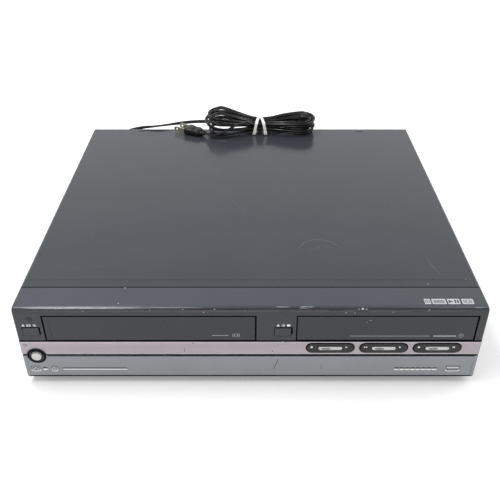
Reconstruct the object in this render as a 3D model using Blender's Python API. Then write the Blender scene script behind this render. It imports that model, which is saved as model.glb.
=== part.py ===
# Combined disc and cassette player: a full-width hi-fi housing with a cassette deck on the left and a
# disc tray on the right. Lengths are in metres. Every piece is placed in one frame: x from the middle
# of the front, to the right; y back from the face of the front; z up from the underside of the front.
# One empty carries that frame, and stands the player on its feet with its footprint centred.

import math

import bmesh
import bpy
import numpy as np
from mathutils import Matrix, Vector

# Fits that every piece shares
TOUCH = 0.0003
RUNNING = 0.0006
PANEL_GAP = 0.0004
OVERRUN = 0.002
SHEET = 0.001
BOARD = 0.0016
ROUND_SHARE = 0.5

# Moulded front
FASCIA_INSET = 0.0007
FASCIA_DEPTH = 0.032
FASCIA_WALL = 0.004
FASCIA_SIDE = 0.0023
FASCIA_ROOF = 0.0025
TOP_EDGE_RADIUS = 0.0045
SIDE_EDGE_RADIUS = 0.0012
BAY_DEPTH = 0.012
BAY_WALL = 0.003
BAY_SILL = 0.0025
SILL_SETBACK = 0.008
SHELF_THICKNESS = 0.0031
SEAT_RADIUS = 0.0084
BROW = 0.0093

# Flap along the foot of the front
FLAP_FOOT = 0.0005
FLAP_HEIGHT = 0.026
FLAP_THICKNESS = 0.0024
FLAP_EDGE = 0.0005
FLAP_AXIS_RISE = 0.0025
FLAP_AXIS_BACK = 0.0045
LUG_RADIUS = 0.0021
LUG_LENGTH = 0.004
FLAP_PIN_RADIUS = 0.0011
FLAP_PIN_LENGTH = 0.0014
SHADOW_LINE = 0.0038

# Silver strip with the keys
STRIP_HEIGHT = 0.0144
STRIP_THICKNESS = 0.002
STRIP_EDGE = 0.0004
DARK_LINE = 0.0013

# Cassette door, sprung, hinged along its top edge
DOOR_PAST_CASSETTE = 0.0023
DOOR_OVER_CASSETTE = 0.0027
DOOR_MARGIN = 0.0268
DOOR_THICKNESS = 0.0015
DOOR_AXIS_DROP = 0.0004
DOOR_AXIS_BACK = 0.0002
DOOR_PIN_RADIUS = 0.0006
DOOR_PIN_LENGTH = 0.0012

# Power button in its black ring
RING_RADIUS = 0.0087
RING_BORE = 0.0057
RING_PROUD = 0.0008
RING_DEPTH = 0.003
CAP_PROUD = 0.0015
CAP_EDGE = 0.0006
CAP_DEPTH = 0.016
POWER_BELOW_LINE = 0.0022

# Eject keys beside the two doors
EJECT_WIDTH = 0.0152
EJECT_HEIGHT = 0.0091
EJECT_DEPTH = 0.007
EJECT_PROUD = 0.0003
EJECT_EDGE = 0.0004
EJECT_RISE = 0.0096
DISC_EJECT_FROM_LID = 0.0132

# Three rocker keys, each round a silver select key
ROCKER_GAP = 0.0043
ROCKER_WIDTH = 0.0455
ROCKER_HEIGHT = 0.0126
ROCKER_DEPTH = 0.0045
ROCKER_PROUD = 0.001
ROCKER_EDGE = 0.0007
ROCKER_SWAY = 0.0006
SELECT_WIDTH = 0.0247
SELECT_HEIGHT = 0.0051
SELECT_PROUD = 0.0013
SELECT_DEPTH = 0.006
SELECT_EDGE = 0.0005
SELECT_TRAVEL = 0.0008
BRACKET_THICKNESS = 0.002
BRACKET_LEG = 0.004
FULCRUM_HALF = 0.001
FULCRUM_HEIGHT = 0.0018

# Behind the flap: a jack block and two small keys
JACK_BLOCK_DEPTH = 0.011
JACK_BLOCK_LENGTH = 0.066
JACK_BLOCK_HEIGHT = 0.018
JACK_BLOCK_FROM_SIDE = 0.012
JACK_PITCH = 0.0145
BAY_JACKS = 4
JACK_RADIUS = 0.0042
JACK_BORE = 0.0016
JACK_REACH = 0.0095
BAY_JACK_REACH = 0.008
JACK_BORE_DEPTH = 0.007
BAY_KEY_RADIUS = 0.0032
BAY_KEY_PROUD = 0.0035
BAY_KEY_FLANGE = 0.0045
BAY_KEY_FLANGE_THICKNESS = 0.001
BAY_KEY_PITCH = 0.014
BAY_KEY_FROM_BLOCK = 0.022
BAY_KEY_TRAVEL = 0.0008
FRONT_BOARD_BACK = 0.0165
FRONT_BOARD_END = 0.024

# Folded steel housing
CHASSIS_RISE = 0.001
CHASSIS_FLANGE = 0.012
POST_RADIUS = 0.003
COVER_BEND = 0.0028
COVER_HEM_RISE = 0.001
BEAD_FROM_SEAM = 0.0108
BEAD_WIDTH = 0.0012
BEAD_DEPTH = 0.0004
BACK_TAB_WIDTH = 0.009
BACK_TAB_LENGTH = 0.0014
BACK_TAB_INSET = 0.0075
BACK_TAB_OFFSET = 0.1487
SIDE_SLOTS = 12
SIDE_SLOT_PITCH = 0.009
SIDE_SLOT_WIDTH = 0.003
SIDE_SLOT_HEIGHT = 0.024
SIDE_SLOT_FOOT = 0.022
SIDE_SLOT_START = 0.215
FLOOR_SLOTS = 8
FLOOR_SLOT_PITCH = 0.010
FLOOR_SLOT_WIDTH = 0.003
FLOOR_SLOT_LENGTH = 0.034
FLOOR_SLOT_START = 0.120
REAR_INSET = 0.003
REAR_FLANGE = 0.008

# Feet
FOOT_HEIGHT = 0.009
FOOT_RADIUS = 0.016
FOOT_TOP_RADIUS = 0.0135
FOOT_EDGE = 0.001
FOOT_FROM_SIDE = 0.045
FOOT_FROM_FRONT = 0.055
FOOT_FROM_BACK = 0.050

# Cassette, and the basket that takes it in and down
CASSETTE_WIDTH = 0.187
CASSETTE_HEIGHT = 0.025
BASKET_CLEARANCE = 0.0008
BASKET_HEADROOM = 0.001
BASKET_LENGTH = 0.0985
BASKET_LEDGE = 0.022
BASKET_STOP = 0.008
BASKET_FROM_FASCIA = 0.0025
BASKET_WINDOW_MARGIN = 0.030
BASKET_IN = 0.070
BASKET_DOWN = 0.020
SLIDE_GAP = 0.0006
PIN_RADIUS = 0.0015
PIN_FIT = 0.0004
BASKET_PIN_SPREAD = 0.040
SLIDER_TAIL = 0.0085
SLIDER_OVER_BASKET = 0.0018
SLIDER_BAR = 0.006
SLIDER_BAR_HEIGHT = 0.007
SLIDER_PIN_DROP = 0.0045
SLIDER_PIN_SPREAD = 0.058

# Cassette deck
DECK_UNDER_BASKET = 0.0055
DECK_PLATE = 0.0012
DECK_PAST_DRUM = 0.0055
DECK_WALL_OVER_SLIDER = 0.0025
DECK_WALL_PAST_STOP = 0.004
DECK_POST_INSET = 0.010
DRUM_RADIUS = 0.031
DRUM_HALF = 0.015
DRUM_FROM_BASKET = 0.045
DRUM_LIFT = 0.0065
DRUM_TILT = math.radians(5)
DRUM_PEDESTAL = 0.018
DRUM_GROOVE = 0.0012
DRUM_CAP_RADIUS = 0.012
DRUM_CAP_RISE = 0.004
REEL_SPREAD = 0.04625
REEL_FROM_BASKET = 0.0515
REEL_DISC = 0.014
REEL_DISC_HEIGHT = 0.0025
REEL_HUB = 0.0095
REEL_TIP = 0.005
REEL_HUB_HEIGHT = 0.013
REEL_SHOULDER_SHARE = 0.67
CAPSTAN_ASIDE = 0.062
CAPSTAN_FROM_DRUM = 0.012
CAPSTAN_RADIUS = 0.0015
CAPSTAN_HEIGHT = 0.026
FLYWHEEL_RADIUS = 0.022
FLYWHEEL_HEIGHT = 0.008
FLYWHEEL_DROP = 0.0105
CAPSTAN_SLEEVE = 0.004

# Disc tray and its lid
LID_PAST_ROCKERS = 0.0088
LID_MARGIN = 0.0088
DOOR_TO_LID = 0.0387
LID_THICKNESS = 0.003
LID_EDGE = 0.0004
TRAY_RIM = 0.006
TRAY_HEIGHT = 0.009
TRAY_RISE = 0.005
TRAY_TRAVEL = 0.138
TRAY_HELD = 0.048
DISC_RADIUS = 0.060
DISC_SMALL_RADIUS = 0.0405
DISC_FROM_LID = 0.0685
DISC_CLEARANCE = 0.0008
RECESS_DEPTH = 0.005
SMALL_RECESS_STEP = 0.0012
TRAY_SLOT = 0.046
TRAY_SLOT_LEAD = 0.018

# Disc drive
DRIVE_WALL = 0.003
DRIVE_FLOOR = 0.002
DRIVE_UNDER_TRAY = 0.015
DRIVE_LENGTH = 0.194
DRIVE_WALL_OVER_TRAY = 0.006
DRIVE_LEDGE = 0.004
DRIVE_POST_INSET = 0.008
TRAVERSE_HALF = 0.032
TRAVERSE_HEIGHT = 0.004
TRAVERSE_BEFORE_HUB = 0.018
TRAVERSE_WINDOW_HALF = 0.026
TRAVERSE_WINDOW_AFTER_HUB = 0.014
TRAVERSE_END = 0.006
MOTOR_RADIUS = 0.0115
MOTOR_HEIGHT = 0.005
ROD_RADIUS = 0.0014
ROD_SPREAD = 0.020
ROD_FIT = 0.0003
SLED_LENGTH = 0.020
SLED_TRAVEL = 0.034
SLED_SPARE = 0.004
SLED_HEIGHT = 0.0068
LENS_RADIUS = 0.0038
LENS_HEIGHT = 0.0018
SPINDLE_STEM = 0.003
TURNTABLE_RADIUS = 0.0125
TURNTABLE_HEIGHT = 0.0012
TURNTABLE_LIFT = 0.0013
HUB_RADIUS = 0.0072
HUB_TIP_RADIUS = 0.0045
HUB_HEIGHT = 0.0022
CLAMP_GAP = 0.0046
CLAMP_RADIUS = 0.015
CLAMP_THICKNESS = 0.002
CLAMP_NECK = 0.009
CLAMP_HOLE_FIT = 0.001
CLAMP_FLANGE = 0.0125
CLAMP_FLANGE_THICKNESS = 0.0015
BRIDGE_LENGTH = 0.034
BRIDGE_THICKNESS = 0.002

# Boards and power supply
BOARD_RISE = 0.010
MAIN_BOARD_INSET = 0.018
MAIN_BOARD_START = 0.050
MAIN_BOARD_END = 0.006
BOARD_POST_INSET = 0.006
POWER_BOARD_WIDTH = 0.150
POWER_BOARD_DEPTH = 0.080
POWER_BOARD_FROM_SIDE = 0.012
POWER_BOARD_FROM_BACK = 0.009
POWER_BOARD_FROM_DECK = 0.0085
CORE_SIZE = (0.042, 0.036, 0.038)
CORE_DEPTH_SHARE = 0.67
CORE_FROM_BOARD_EDGE = 0.010
WINDING_RADIUS = 0.014
SINK_SIZE = (0.050, 0.018, 0.034)
SINK_FINS = 7
SINK_FIN_SHARE = 0.5
SINK_BASE = 0.004
SINK_FROM_CORE = 0.012
CAPACITOR_RADIUS = 0.009
CAPACITOR_HEIGHT = 0.028
CAPACITORS = 2
CAPACITOR_PITCH = 0.022
CHIP_SIZE = (0.028, 0.028, 0.0022)
CHIP_PITCH = 0.045
CHIPS = 3

# Rear sockets
TUNER_SIZE = (0.046, 0.034, 0.022)
TUNER_LEFT = -0.055
TUNER_RISE = 0.042
COAX_RADIUS = 0.0047
COAX_REACH = 0.010
COAX_PITCH = 0.022
REAR_BLOCK_LENGTH = 0.050
REAR_BLOCK_HEIGHT = 0.034
REAR_BLOCK_DEPTH = 0.012
REAR_BLOCK_RISE = 0.024
REAR_BLOCK_LEFT = 0.018
REAR_JACK_COLUMNS = 3
REAR_JACK_ROWS = 2
REAR_JACK_ROW_PITCH = 0.016
PORT_BLOCK_LENGTH = 0.044
PORT_BLOCK_LEFT = 0.082
PORT_BLOCK_HEIGHT = 0.022
PORT_BLOCK_RISE = 0.026
PORT_WIDTH = 0.015
PORT_HEIGHT = 0.0055
PORT_MOUTH = 0.0035
PORT_DEPTH = 0.008
PORT_REACH = 0.0015
PORT_WALL = 0.0008
OPTICAL_SIDE = 0.010
OPTICAL_FROM_PORT = 0.022

# Fan
FAN_SIDE = 0.050
FAN_DEPTH = 0.012
FAN_BORE = 0.023
FAN_FROM_SIDE = 0.016
FAN_RISE = 0.018
FAN_HUB = 0.0105
FAN_BLADES = 7
FAN_BLADE_TIP_GAP = 0.0015
FAN_BLADE_PITCH = math.radians(38)
FAN_BLADE_CHORD = 0.0095
FAN_BLADE_THICKNESS = 0.0012
FAN_STRUTS = 4
FAN_STRUT_WIDTH = 0.003
FAN_STRUT_DEPTH = 0.002
FAN_HOLDER = 0.009
FAN_ROTOR_INSET = 0.001
GRILLE_SLOTS = 5
GRILLE_SLOT_HEIGHT = 0.0045
GRILLE_PITCH = 0.0075

# Mains lead, drawn as a round cord of the flat twin's cross-section
CORD_RADIUS = 0.0022
GLAND_X = -0.172
GLAND_RISE = 0.026
GLAND_FLANGE = 0.0075
GLAND_NECK = 0.0052
GLAND_FLANGE_THICKNESS = 0.002
GLAND_LENGTH = 0.024
GLAND_TIP = 0.0033
LEAD_POINTS = 60
TAIL_POINTS = 26

# Hank on the cover
HANK_CENTRE_X = 0.0155
HANK_CENTRE_Y = 0.3812
HANK_TILT = math.radians(3)
HANK_HALF_RUN = 0.0525
HANK_FOLD = 0.0188
HANK_SPIRAL = 0.0061
HANK_SWELL = 0.004
HANK_LIFT_SHARE = 0.4
HANK_LAYER = 0.0050
HANK_LAYERS = 4
LAYER_TURNS = 1.5
HANK_WAIST = 0.009
RUN_STEPS = 5
CAP_STEPS = 7
TIE_WIDTH = 0.004
TIE_THICKNESS = 0.0008
TIE_AT = -0.0025
TIE_FIT = 0.0004

# Plug, with the place on the cover where the cord enters it
PLUG_START = (-0.0605, 0.3615)
PLUG_HEADING = math.radians(150)
PLUG_RELIEF = 0.010
PLUG_LENGTH = 0.019
PLUG_WIDTH = 0.0175
PLUG_THICKNESS = 0.0092
PLUG_CORNER = 0.0022
PLUG_NECK_SHARE = 1.5
PLUG_SHOULDER_SHARE = 0.84
BLADE_SPREAD = 0.00635
BLADE_LENGTH = 0.016
BLADE_WIDTH = 0.0063
BLADE_THICKNESS = 0.0015

# Sizes that follow from what the player holds: the cassette, the disc and the keys
DOOR_WIDTH = CASSETTE_WIDTH + 2 * DOOR_PAST_CASSETTE
DOOR_HEIGHT = CASSETTE_HEIGHT + DOOR_OVER_CASSETTE
ROCKER_PITCH = ROCKER_WIDTH + ROCKER_GAP
LID_WIDTH = 3 * ROCKER_WIDTH + 2 * (ROCKER_GAP + LID_PAST_ROCKERS)
TRAY_WIDTH = 2 * (DISC_RADIUS + TRAY_RIM)
FRONT_WIDTH = DOOR_MARGIN + DOOR_WIDTH + DOOR_TO_LID + LID_WIDTH + LID_MARGIN
COVER_WIDTH = FRONT_WIDTH + 2 * FASCIA_INSET
DECK_LENGTH = BASKET_LENGTH + BASKET_IN + DRUM_FROM_BASKET + DRUM_RADIUS + DECK_PAST_DRUM
DECK_END = FASCIA_DEPTH + BASKET_FROM_FASCIA + DECK_LENGTH
POWER_BOARD_END = DECK_END + POWER_BOARD_FROM_DECK + POWER_BOARD_DEPTH
BODY_DEPTH = POWER_BOARD_END + POWER_BOARD_FROM_BACK + SHEET + REAR_INSET
STRIP_FOOT = FLAP_FOOT + FLAP_HEIGHT + SHADOW_LINE
BODY_HEIGHT = STRIP_FOOT + STRIP_HEIGHT + DARK_LINE + DOOR_HEIGHT + BROW

# Places worked out from the sizes above
FRONT_HALF = FRONT_WIDTH / 2
INSIDE_HALF = COVER_WIDTH / 2 - SHEET - TOUCH
FLAP_TOP = FLAP_FOOT + FLAP_HEIGHT
STRIP_BOTTOM = STRIP_FOOT
STRIP_TOP = STRIP_BOTTOM + STRIP_HEIGHT
STRIP_MIDDLE = (STRIP_BOTTOM + STRIP_TOP) / 2
DOOR_BOTTOM = STRIP_TOP + DARK_LINE
DOOR_TOP = DOOR_BOTTOM + DOOR_HEIGHT
DOOR_LEFT = -FRONT_HALF + DOOR_MARGIN
DECK_X = DOOR_LEFT + DOOR_WIDTH / 2
BASKET_FOOT = DOOR_BOTTOM - SHEET - TOUCH
BASKET_TOP = BASKET_FOOT + SHEET + CASSETTE_HEIGHT + BASKET_HEADROOM + SHEET
SLIDER_ROOF = BASKET_TOP + SLIDER_OVER_BASKET
DECK_WALL_TOP = SLIDER_ROOF + DECK_WALL_OVER_SLIDER
DECK_RISE = BASKET_FOOT - BASKET_DOWN - DECK_UNDER_BASKET - DECK_PLATE
DRIVE_RISE = DOOR_BOTTOM + TRAY_RISE - DRIVE_UNDER_TRAY
DRIVE_WALL_TOP = DOOR_BOTTOM + TRAY_RISE + TRAY_HEIGHT + DRIVE_WALL_OVER_TRAY
LID_X = FRONT_HALF - LID_MARGIN - LID_WIDTH / 2
BAY_CEILING = STRIP_BOTTOM - SHELF_THICKNESS
BAY_BACK = BAY_DEPTH + BAY_WALL
DOOR_AXIS = (0, DOOR_THICKNESS + DOOR_AXIS_BACK, DOOR_TOP - DOOR_AXIS_DROP)
FLAP_AXIS = (0, FLAP_AXIS_BACK, FLAP_FOOT + FLAP_AXIS_RISE)
FLAP_HALF = FRONT_HALF - FASCIA_SIDE - RUNNING
POWER_X = -FRONT_HALF + DOOR_MARGIN / 2
POWER_Z = FLAP_TOP + SHADOW_LINE / 2 - POWER_BELOW_LINE
CAP_RADIUS = RING_BORE - PANEL_GAP
EJECT_Z = DOOR_BOTTOM + EJECT_RISE
EJECT_XS = {"cassette": POWER_X, "disc": LID_X - LID_WIDTH / 2 - DISC_EJECT_FROM_LID}
ROCKER_XS = {"left": LID_X - ROCKER_PITCH, "middle": LID_X, "right": LID_X + ROCKER_PITCH}
SEAM = FASCIA_DEPTH + TOUCH
REAR_FACE = BODY_DEPTH - REAR_INSET
REAR_INSIDE = REAR_FACE - SHEET
CHASSIS_TOP = CHASSIS_RISE + SHEET
COVER_UNDER = BODY_HEIGHT - SHEET
FRONT_REACH = max(CAP_PROUD, SELECT_PROUD, ROCKER_PROUD, RING_PROUD, EJECT_PROUD)
BACK_REACH = max(COAX_REACH, JACK_REACH, PORT_REACH) - REAR_INSET
ORIGIN_BACK = (BODY_DEPTH + BACK_REACH - FRONT_REACH) / 2

COLOURS = {
    "cover_paint": ((0.085, 0.090, 0.100), 0.38, 0.2),
    "fascia_plastic": ((0.055, 0.060, 0.066), 0.42, 0.0),
    "strip_silver": ((0.42, 0.39, 0.41), 0.32, 0.7),
    "flap_grey": ((0.27, 0.28, 0.29), 0.35, 0.6),
    "door_black": ((0.030, 0.032, 0.036), 0.25, 0.0),
    "key_black": ((0.012, 0.012, 0.013), 0.30, 0.0),
    "button_silver": ((0.55, 0.54, 0.54), 0.28, 0.8),
    "zinc_steel": ((0.55, 0.56, 0.57), 0.35, 1.0),
    "aluminium": ((0.72, 0.72, 0.73), 0.25, 1.0),
    "moulding_black": ((0.02, 0.02, 0.02), 0.5, 0.0),
    "moulding_grey": ((0.16, 0.16, 0.17), 0.5, 0.0),
    "board_green": ((0.02, 0.10, 0.04), 0.45, 0.0),
    "copper_winding": ((0.50, 0.32, 0.06), 0.4, 0.3),
    "foot_rubber": ((0.015, 0.015, 0.015), 0.8, 0.0),
    "cord_black": ((0.010, 0.010, 0.011), 0.45, 0.0),
    "tie_white": ((0.85, 0.85, 0.83), 0.5, 0.0),
    "blade_nickel": ((0.70, 0.68, 0.62), 0.2, 1.0),
}


def clear_scene():
    for obj in list(bpy.data.objects):
        bpy.data.objects.remove(obj)


def make_material(name):
    colour, roughness, metallic = COLOURS[name]
    found = bpy.data.materials.get(name)
    if found:
        return found
    made = bpy.data.materials.new(name)
    made.use_nodes = True
    shader = made.node_tree.nodes["Principled BSDF"]
    shader.inputs["Base Color"].default_value = (*colour, 1)
    shader.inputs["Roughness"].default_value = roughness
    shader.inputs["Metallic"].default_value = metallic
    made.diffuse_color = (*colour, 1)
    return made


def player_frame():
    frame = bpy.data.objects.new("player", None)
    bpy.context.collection.objects.link(frame)
    frame.location = (0, -ORIGIN_BACK, FOOT_HEIGHT)
    return frame


def solid(name, bm, finish, at=(0, 0, 0)):
    """An object made from bm, with its own origin at the point at."""
    bmesh.ops.translate(bm, vec=-Vector(at), verts=bm.verts)
    bmesh.ops.recalc_face_normals(bm, faces=bm.faces)
    mesh = bpy.data.meshes.new(name)
    bm.to_mesh(mesh)
    bm.free()
    mesh.shade_smooth()
    mesh.set_sharp_from_angle(angle=math.radians(32))
    mesh.materials.append(make_material(finish))
    obj = bpy.data.objects.new(name, mesh)
    bpy.context.collection.objects.link(obj)
    obj.parent = bpy.data.objects["player"]
    obj.location = at
    return obj


def shape(obj, bm, operation="DIFFERENCE"):
    """Cuts the shapes in bm from obj, or joins them on with UNION."""
    helper = solid(f"{obj.name}_{operation.lower()}_{len(obj.modifiers)}", bm, "zinc_steel")
    helper.hide_render = True
    helper.display_type = "WIRE"
    modifier = obj.modifiers.new(helper.name, "BOOLEAN")
    modifier.operation = operation
    modifier.object = helper
    return obj


def carry(child, parent):
    """Lets child move with parent; both are already in the player's frame and unturned."""
    child.location = Vector(child.location) - Vector(parent.location)
    child.parent = parent


def middle(span):
    return (span[0] + span[1]) / 2


def around(centre, size):
    return centre - size / 2, centre + size / 2


def add_box(bm, x, y, z):
    size = Matrix.Diagonal((x[1] - x[0], y[1] - y[0], z[1] - z[0], 1))
    place = Matrix.Translation((middle(x), middle(y), middle(z)))
    bmesh.ops.create_cube(bm, size=1, matrix=place @ size)
    return bm


def box(*spans):
    return add_box(bmesh.new(), *spans)


def boxes(spans):
    bm = bmesh.new()
    for x, y, z in spans:
        add_box(bm, x, y, z)
    return bm


def add_rod(bm, start, end, radius, sides=12, end_radius=None):
    start, end = Vector(start), Vector(end)
    turn = Vector((0, 0, 1)).rotation_difference(end - start).to_matrix().to_4x4()
    bmesh.ops.create_cone(
        bm,
        cap_ends=True,
        segments=sides,
        radius1=radius,
        radius2=radius if end_radius is None else end_radius,
        depth=(end - start).length,
        matrix=Matrix.Translation((start + end) / 2) @ turn,
    )
    return bm


def rod(start, end, radius, sides=12, end_radius=None):
    return add_rod(bmesh.new(), start, end, radius, sides, end_radius)


def rods(ends, radius, sides=12):
    bm = bmesh.new()
    for start, end in ends:
        add_rod(bm, start, end, radius, sides)
    return bm


def prism(outline, axis, span):
    """The outline, extruded along axis. Its points lie in the other two axes, in X, Y, Z order."""
    place = {
        "X": lambda p, q, r: (r, p, q),
        "Y": lambda p, q, r: (p, r, q),
        "Z": lambda p, q, r: (p, q, r),
    }[axis]
    bm = bmesh.new()
    rim = [bm.verts.new(place(p, q, span[0])) for p, q in outline]
    grown = bmesh.ops.extrude_face_region(bm, geom=[bm.faces.new(rim)])["geom"]
    shift = Vector(place(0, 0, span[1])) - Vector(place(0, 0, span[0]))
    moved = [item for item in grown if isinstance(item, bmesh.types.BMVert)]
    bmesh.ops.translate(bm, vec=shift, verts=moved)
    return bm


def arc(centre, radius, start, end, steps):
    """Points along an arc, with its angles in quarter turns."""
    angles = [math.pi / 2 * (start + (end - start) * i / steps) for i in range(steps + 1)]
    return [(centre[0] + radius * math.cos(a), centre[1] + radius * math.sin(a)) for a in angles]


def stadium(centre, width, height, steps=8):
    """A bar with round ends."""
    radius = height / 2
    reach = width / 2 - radius
    right = arc((centre[0] + reach, centre[1]), radius, -1, 1, steps)
    left = arc((centre[0] - reach, centre[1]), radius, 1, 3, steps)
    return right + left


def turned(profile, base, direction, sides=24):
    """The profile of (radius, height) points, turned about direction from base."""
    bm = bmesh.new()
    points = [bm.verts.new((radius, 0, height)) for radius, height in profile]
    edges = [bm.edges.new(pair) for pair in zip(points, points[1:])]
    if profile[0][0] and profile[-1][0]:
        edges.append(bm.edges.new((points[-1], points[0])))
    bmesh.ops.spin(
        bm,
        geom=points + edges,
        cent=(0, 0, 0),
        axis=(0, 0, 1),
        angle=math.tau,
        steps=sides,
        use_merge=True,
    )
    bmesh.ops.remove_doubles(bm, verts=bm.verts, dist=TOUCH / 30)
    turn = Vector((0, 0, 1)).rotation_difference(Vector(direction)).to_matrix().to_4x4()
    bmesh.ops.transform(bm, matrix=Matrix.Translation(base) @ turn, verts=bm.verts)
    return bm


def soften(bm, width, chosen, steps=2):
    """Rounds the edges whose two ends both pass the test chosen."""
    edges = [edge for edge in bm.edges if all(chosen(vert.co) for vert in edge.verts)]
    bmesh.ops.bevel(bm, geom=edges, offset=width, segments=steps, profile=ROUND_SHARE, affect="EDGES")
    return bm


def soft_front(bm, face_y, width, steps=2):
    return soften(bm, width, lambda point: abs(point.y - face_y) < TOUCH / 3, steps)


def fascia():
    side = [(0, 0), (FASCIA_DEPTH, 0), (FASCIA_DEPTH, BODY_HEIGHT)]
    corner = (TOP_EDGE_RADIUS, BODY_HEIGHT - TOP_EDGE_RADIUS)
    bm = prism(side + arc(corner, TOP_EDGE_RADIUS, 1, 2, 6), "X", (-FRONT_HALF, FRONT_HALF))

    def on_end_rim(point):
        at_end = abs(abs(point.x) - FRONT_HALF) < TOUCH
        return at_end and (point.y < TOP_EDGE_RADIUS + TOUCH or point.z > BODY_HEIGHT - TOUCH)

    soften(bm, SIDE_EDGE_RADIUS, on_end_rim)
    obj = solid("front_fascia", bm, "fascia_plastic")
    shape(obj, fascia_cavity())
    shape(obj, flap_bay())
    shape(obj, strip_recess())
    seat = (POWER_X, RING_DEPTH + TOUCH, POWER_Z)
    shape(obj, rod(seat, (POWER_X, BAY_BACK, POWER_Z), SEAT_RADIUS, 24), "UNION")
    shape(obj, fascia_windows())
    shape(obj, ring_seat())
    shape(obj, hinge_holes())
    return obj


def fascia_cavity():
    behind = FASCIA_DEPTH + OVERRUN
    roof = BODY_HEIGHT - FASCIA_ROOF
    outline = [
        (FASCIA_WALL, STRIP_BOTTOM),
        (FASCIA_WALL, roof),
        (behind, roof),
        (behind, BAY_SILL),
        (BAY_BACK, BAY_SILL),
        (BAY_BACK, STRIP_BOTTOM),
    ]
    inside = FRONT_HALF - FASCIA_SIDE
    return prism(outline, "X", (-inside, inside))


def flap_bay():
    outline = [
        (-OVERRUN, -OVERRUN),
        (SILL_SETBACK, -OVERRUN),
        (SILL_SETBACK, BAY_SILL),
        (BAY_DEPTH, BAY_SILL),
        (BAY_DEPTH, BAY_CEILING),
        (-OVERRUN, BAY_CEILING),
    ]
    inside = FRONT_HALF - FASCIA_SIDE
    return prism(outline, "X", (-inside, inside))


def strip_recess():
    across = FRONT_HALF + OVERRUN
    top = DOOR_BOTTOM - PANEL_GAP
    return box((-across, across), (-OVERRUN, STRIP_THICKNESS + TOUCH), (BAY_CEILING - TOUCH, top))


def fascia_windows():
    """The openings for the door, the tray's lid, the eject keys, the rockers and what is in the bay."""
    through = (-OVERRUN, FASCIA_WALL + OVERRUN)
    high = (DOOR_BOTTOM - PANEL_GAP, DOOR_TOP + PANEL_GAP)
    spans = [
        (around(DECK_X, DOOR_WIDTH + 2 * PANEL_GAP), through, high),
        (around(LID_X, LID_WIDTH + 2 * PANEL_GAP), through, high),
    ]
    for x in EJECT_XS.values():
        wide = around(x, EJECT_WIDTH + 2 * PANEL_GAP)
        spans.append((wide, through, around(EJECT_Z, EJECT_HEIGHT + 2 * PANEL_GAP)))
    for x in ROCKER_XS.values():
        wide = around(x, ROCKER_WIDTH + 2 * ROCKER_SWAY)
        spans.append((wide, through, around(STRIP_MIDDLE, ROCKER_HEIGHT + 2 * PANEL_GAP)))
    bm = boxes(spans)
    wall = (BAY_DEPTH - OVERRUN, BAY_BACK + OVERRUN)
    for x in bay_jack_xs():
        hole = JACK_RADIUS + PANEL_GAP
        add_rod(bm, (x, wall[0], bay_middle()), (x, wall[1], bay_middle()), hole)
    for x in bay_key_xs().values():
        hole = BAY_KEY_RADIUS + PANEL_GAP
        add_rod(bm, (x, wall[0], bay_middle()), (x, wall[1], bay_middle()), hole)
    return bm


def ring_seat():
    """The counterbore that takes the ring, and the bore behind it for the power button."""
    profile = [
        (0, OVERRUN),
        (RING_RADIUS + PANEL_GAP, OVERRUN),
        (RING_RADIUS + PANEL_GAP, -RING_DEPTH - TOUCH),
        (RING_BORE, -RING_DEPTH - TOUCH),
        (RING_BORE, -BAY_BACK - OVERRUN),
        (0, -BAY_BACK - OVERRUN),
    ]
    return turned(profile, (POWER_X, 0, POWER_Z), (0, -1, 0), 32)


def hinge_holes():
    """Blind holes for the door's pins and the flap's pins."""
    door = DOOR_WIDTH / 2 + DOOR_PIN_LENGTH + PANEL_GAP
    flap = FLAP_HALF + FLAP_PIN_LENGTH + PANEL_GAP
    _, y, z = DOOR_AXIS
    bm = rod((DECK_X - door, y, z), (DECK_X + door, y, z), DOOR_PIN_RADIUS + PANEL_GAP)
    _, y, z = FLAP_AXIS
    return add_rod(bm, (-flap, y, z), (flap, y, z), FLAP_PIN_RADIUS + PANEL_GAP)


def trim_strip():
    spans = (-FRONT_HALF, FRONT_HALF), (0, STRIP_THICKNESS), (STRIP_BOTTOM, STRIP_TOP)
    obj = solid("trim_strip", soft_front(box(*spans), 0, STRIP_EDGE), "strip_silver")
    through = (-OVERRUN, STRIP_THICKNESS + OVERRUN)
    for x in ROCKER_XS.values():
        size = ROCKER_WIDTH + 2 * ROCKER_SWAY, ROCKER_HEIGHT + 2 * PANEL_GAP
        shape(obj, prism(stadium((x, STRIP_MIDDLE), *size), "Y", through))
    return shape(obj, ring_notch(through))


def ring_notch(through):
    ends = [(POWER_X, y, POWER_Z) for y in through]
    return rod(*ends, RING_RADIUS + PANEL_GAP, 32)


def flap():
    """A full-width flap on two lugs whose pins turn in the cheeks of the front."""
    plate = (-FLAP_HALF, FLAP_HALF), (0, FLAP_THICKNESS), (FLAP_FOOT, FLAP_TOP)
    obj = solid("front_flap", soft_front(box(*plate), 0, FLAP_EDGE), "flap_grey", FLAP_AXIS)
    _, y, z = FLAP_AXIS
    lugs = bmesh.new()
    for side in (-1, 1):
        inner, outer = side * (FLAP_HALF - LUG_LENGTH), side * FLAP_HALF
        tip = side * (FLAP_HALF + FLAP_PIN_LENGTH)
        outline = arc((y, z), LUG_RADIUS, -1, 1, 6)
        outline += [(FLAP_THICKNESS / 2, z + LUG_RADIUS), (FLAP_THICKNESS / 2, z - LUG_RADIUS)]
        shape(obj, prism(outline, "X", (inner, outer)), "UNION")
        add_rod(lugs, (middle((inner, outer)), y, z), (tip, y, z), FLAP_PIN_RADIUS)
    shape(obj, lugs, "UNION")
    return shape(obj, ring_notch((-OVERRUN, FLAP_THICKNESS + OVERRUN)))


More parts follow.
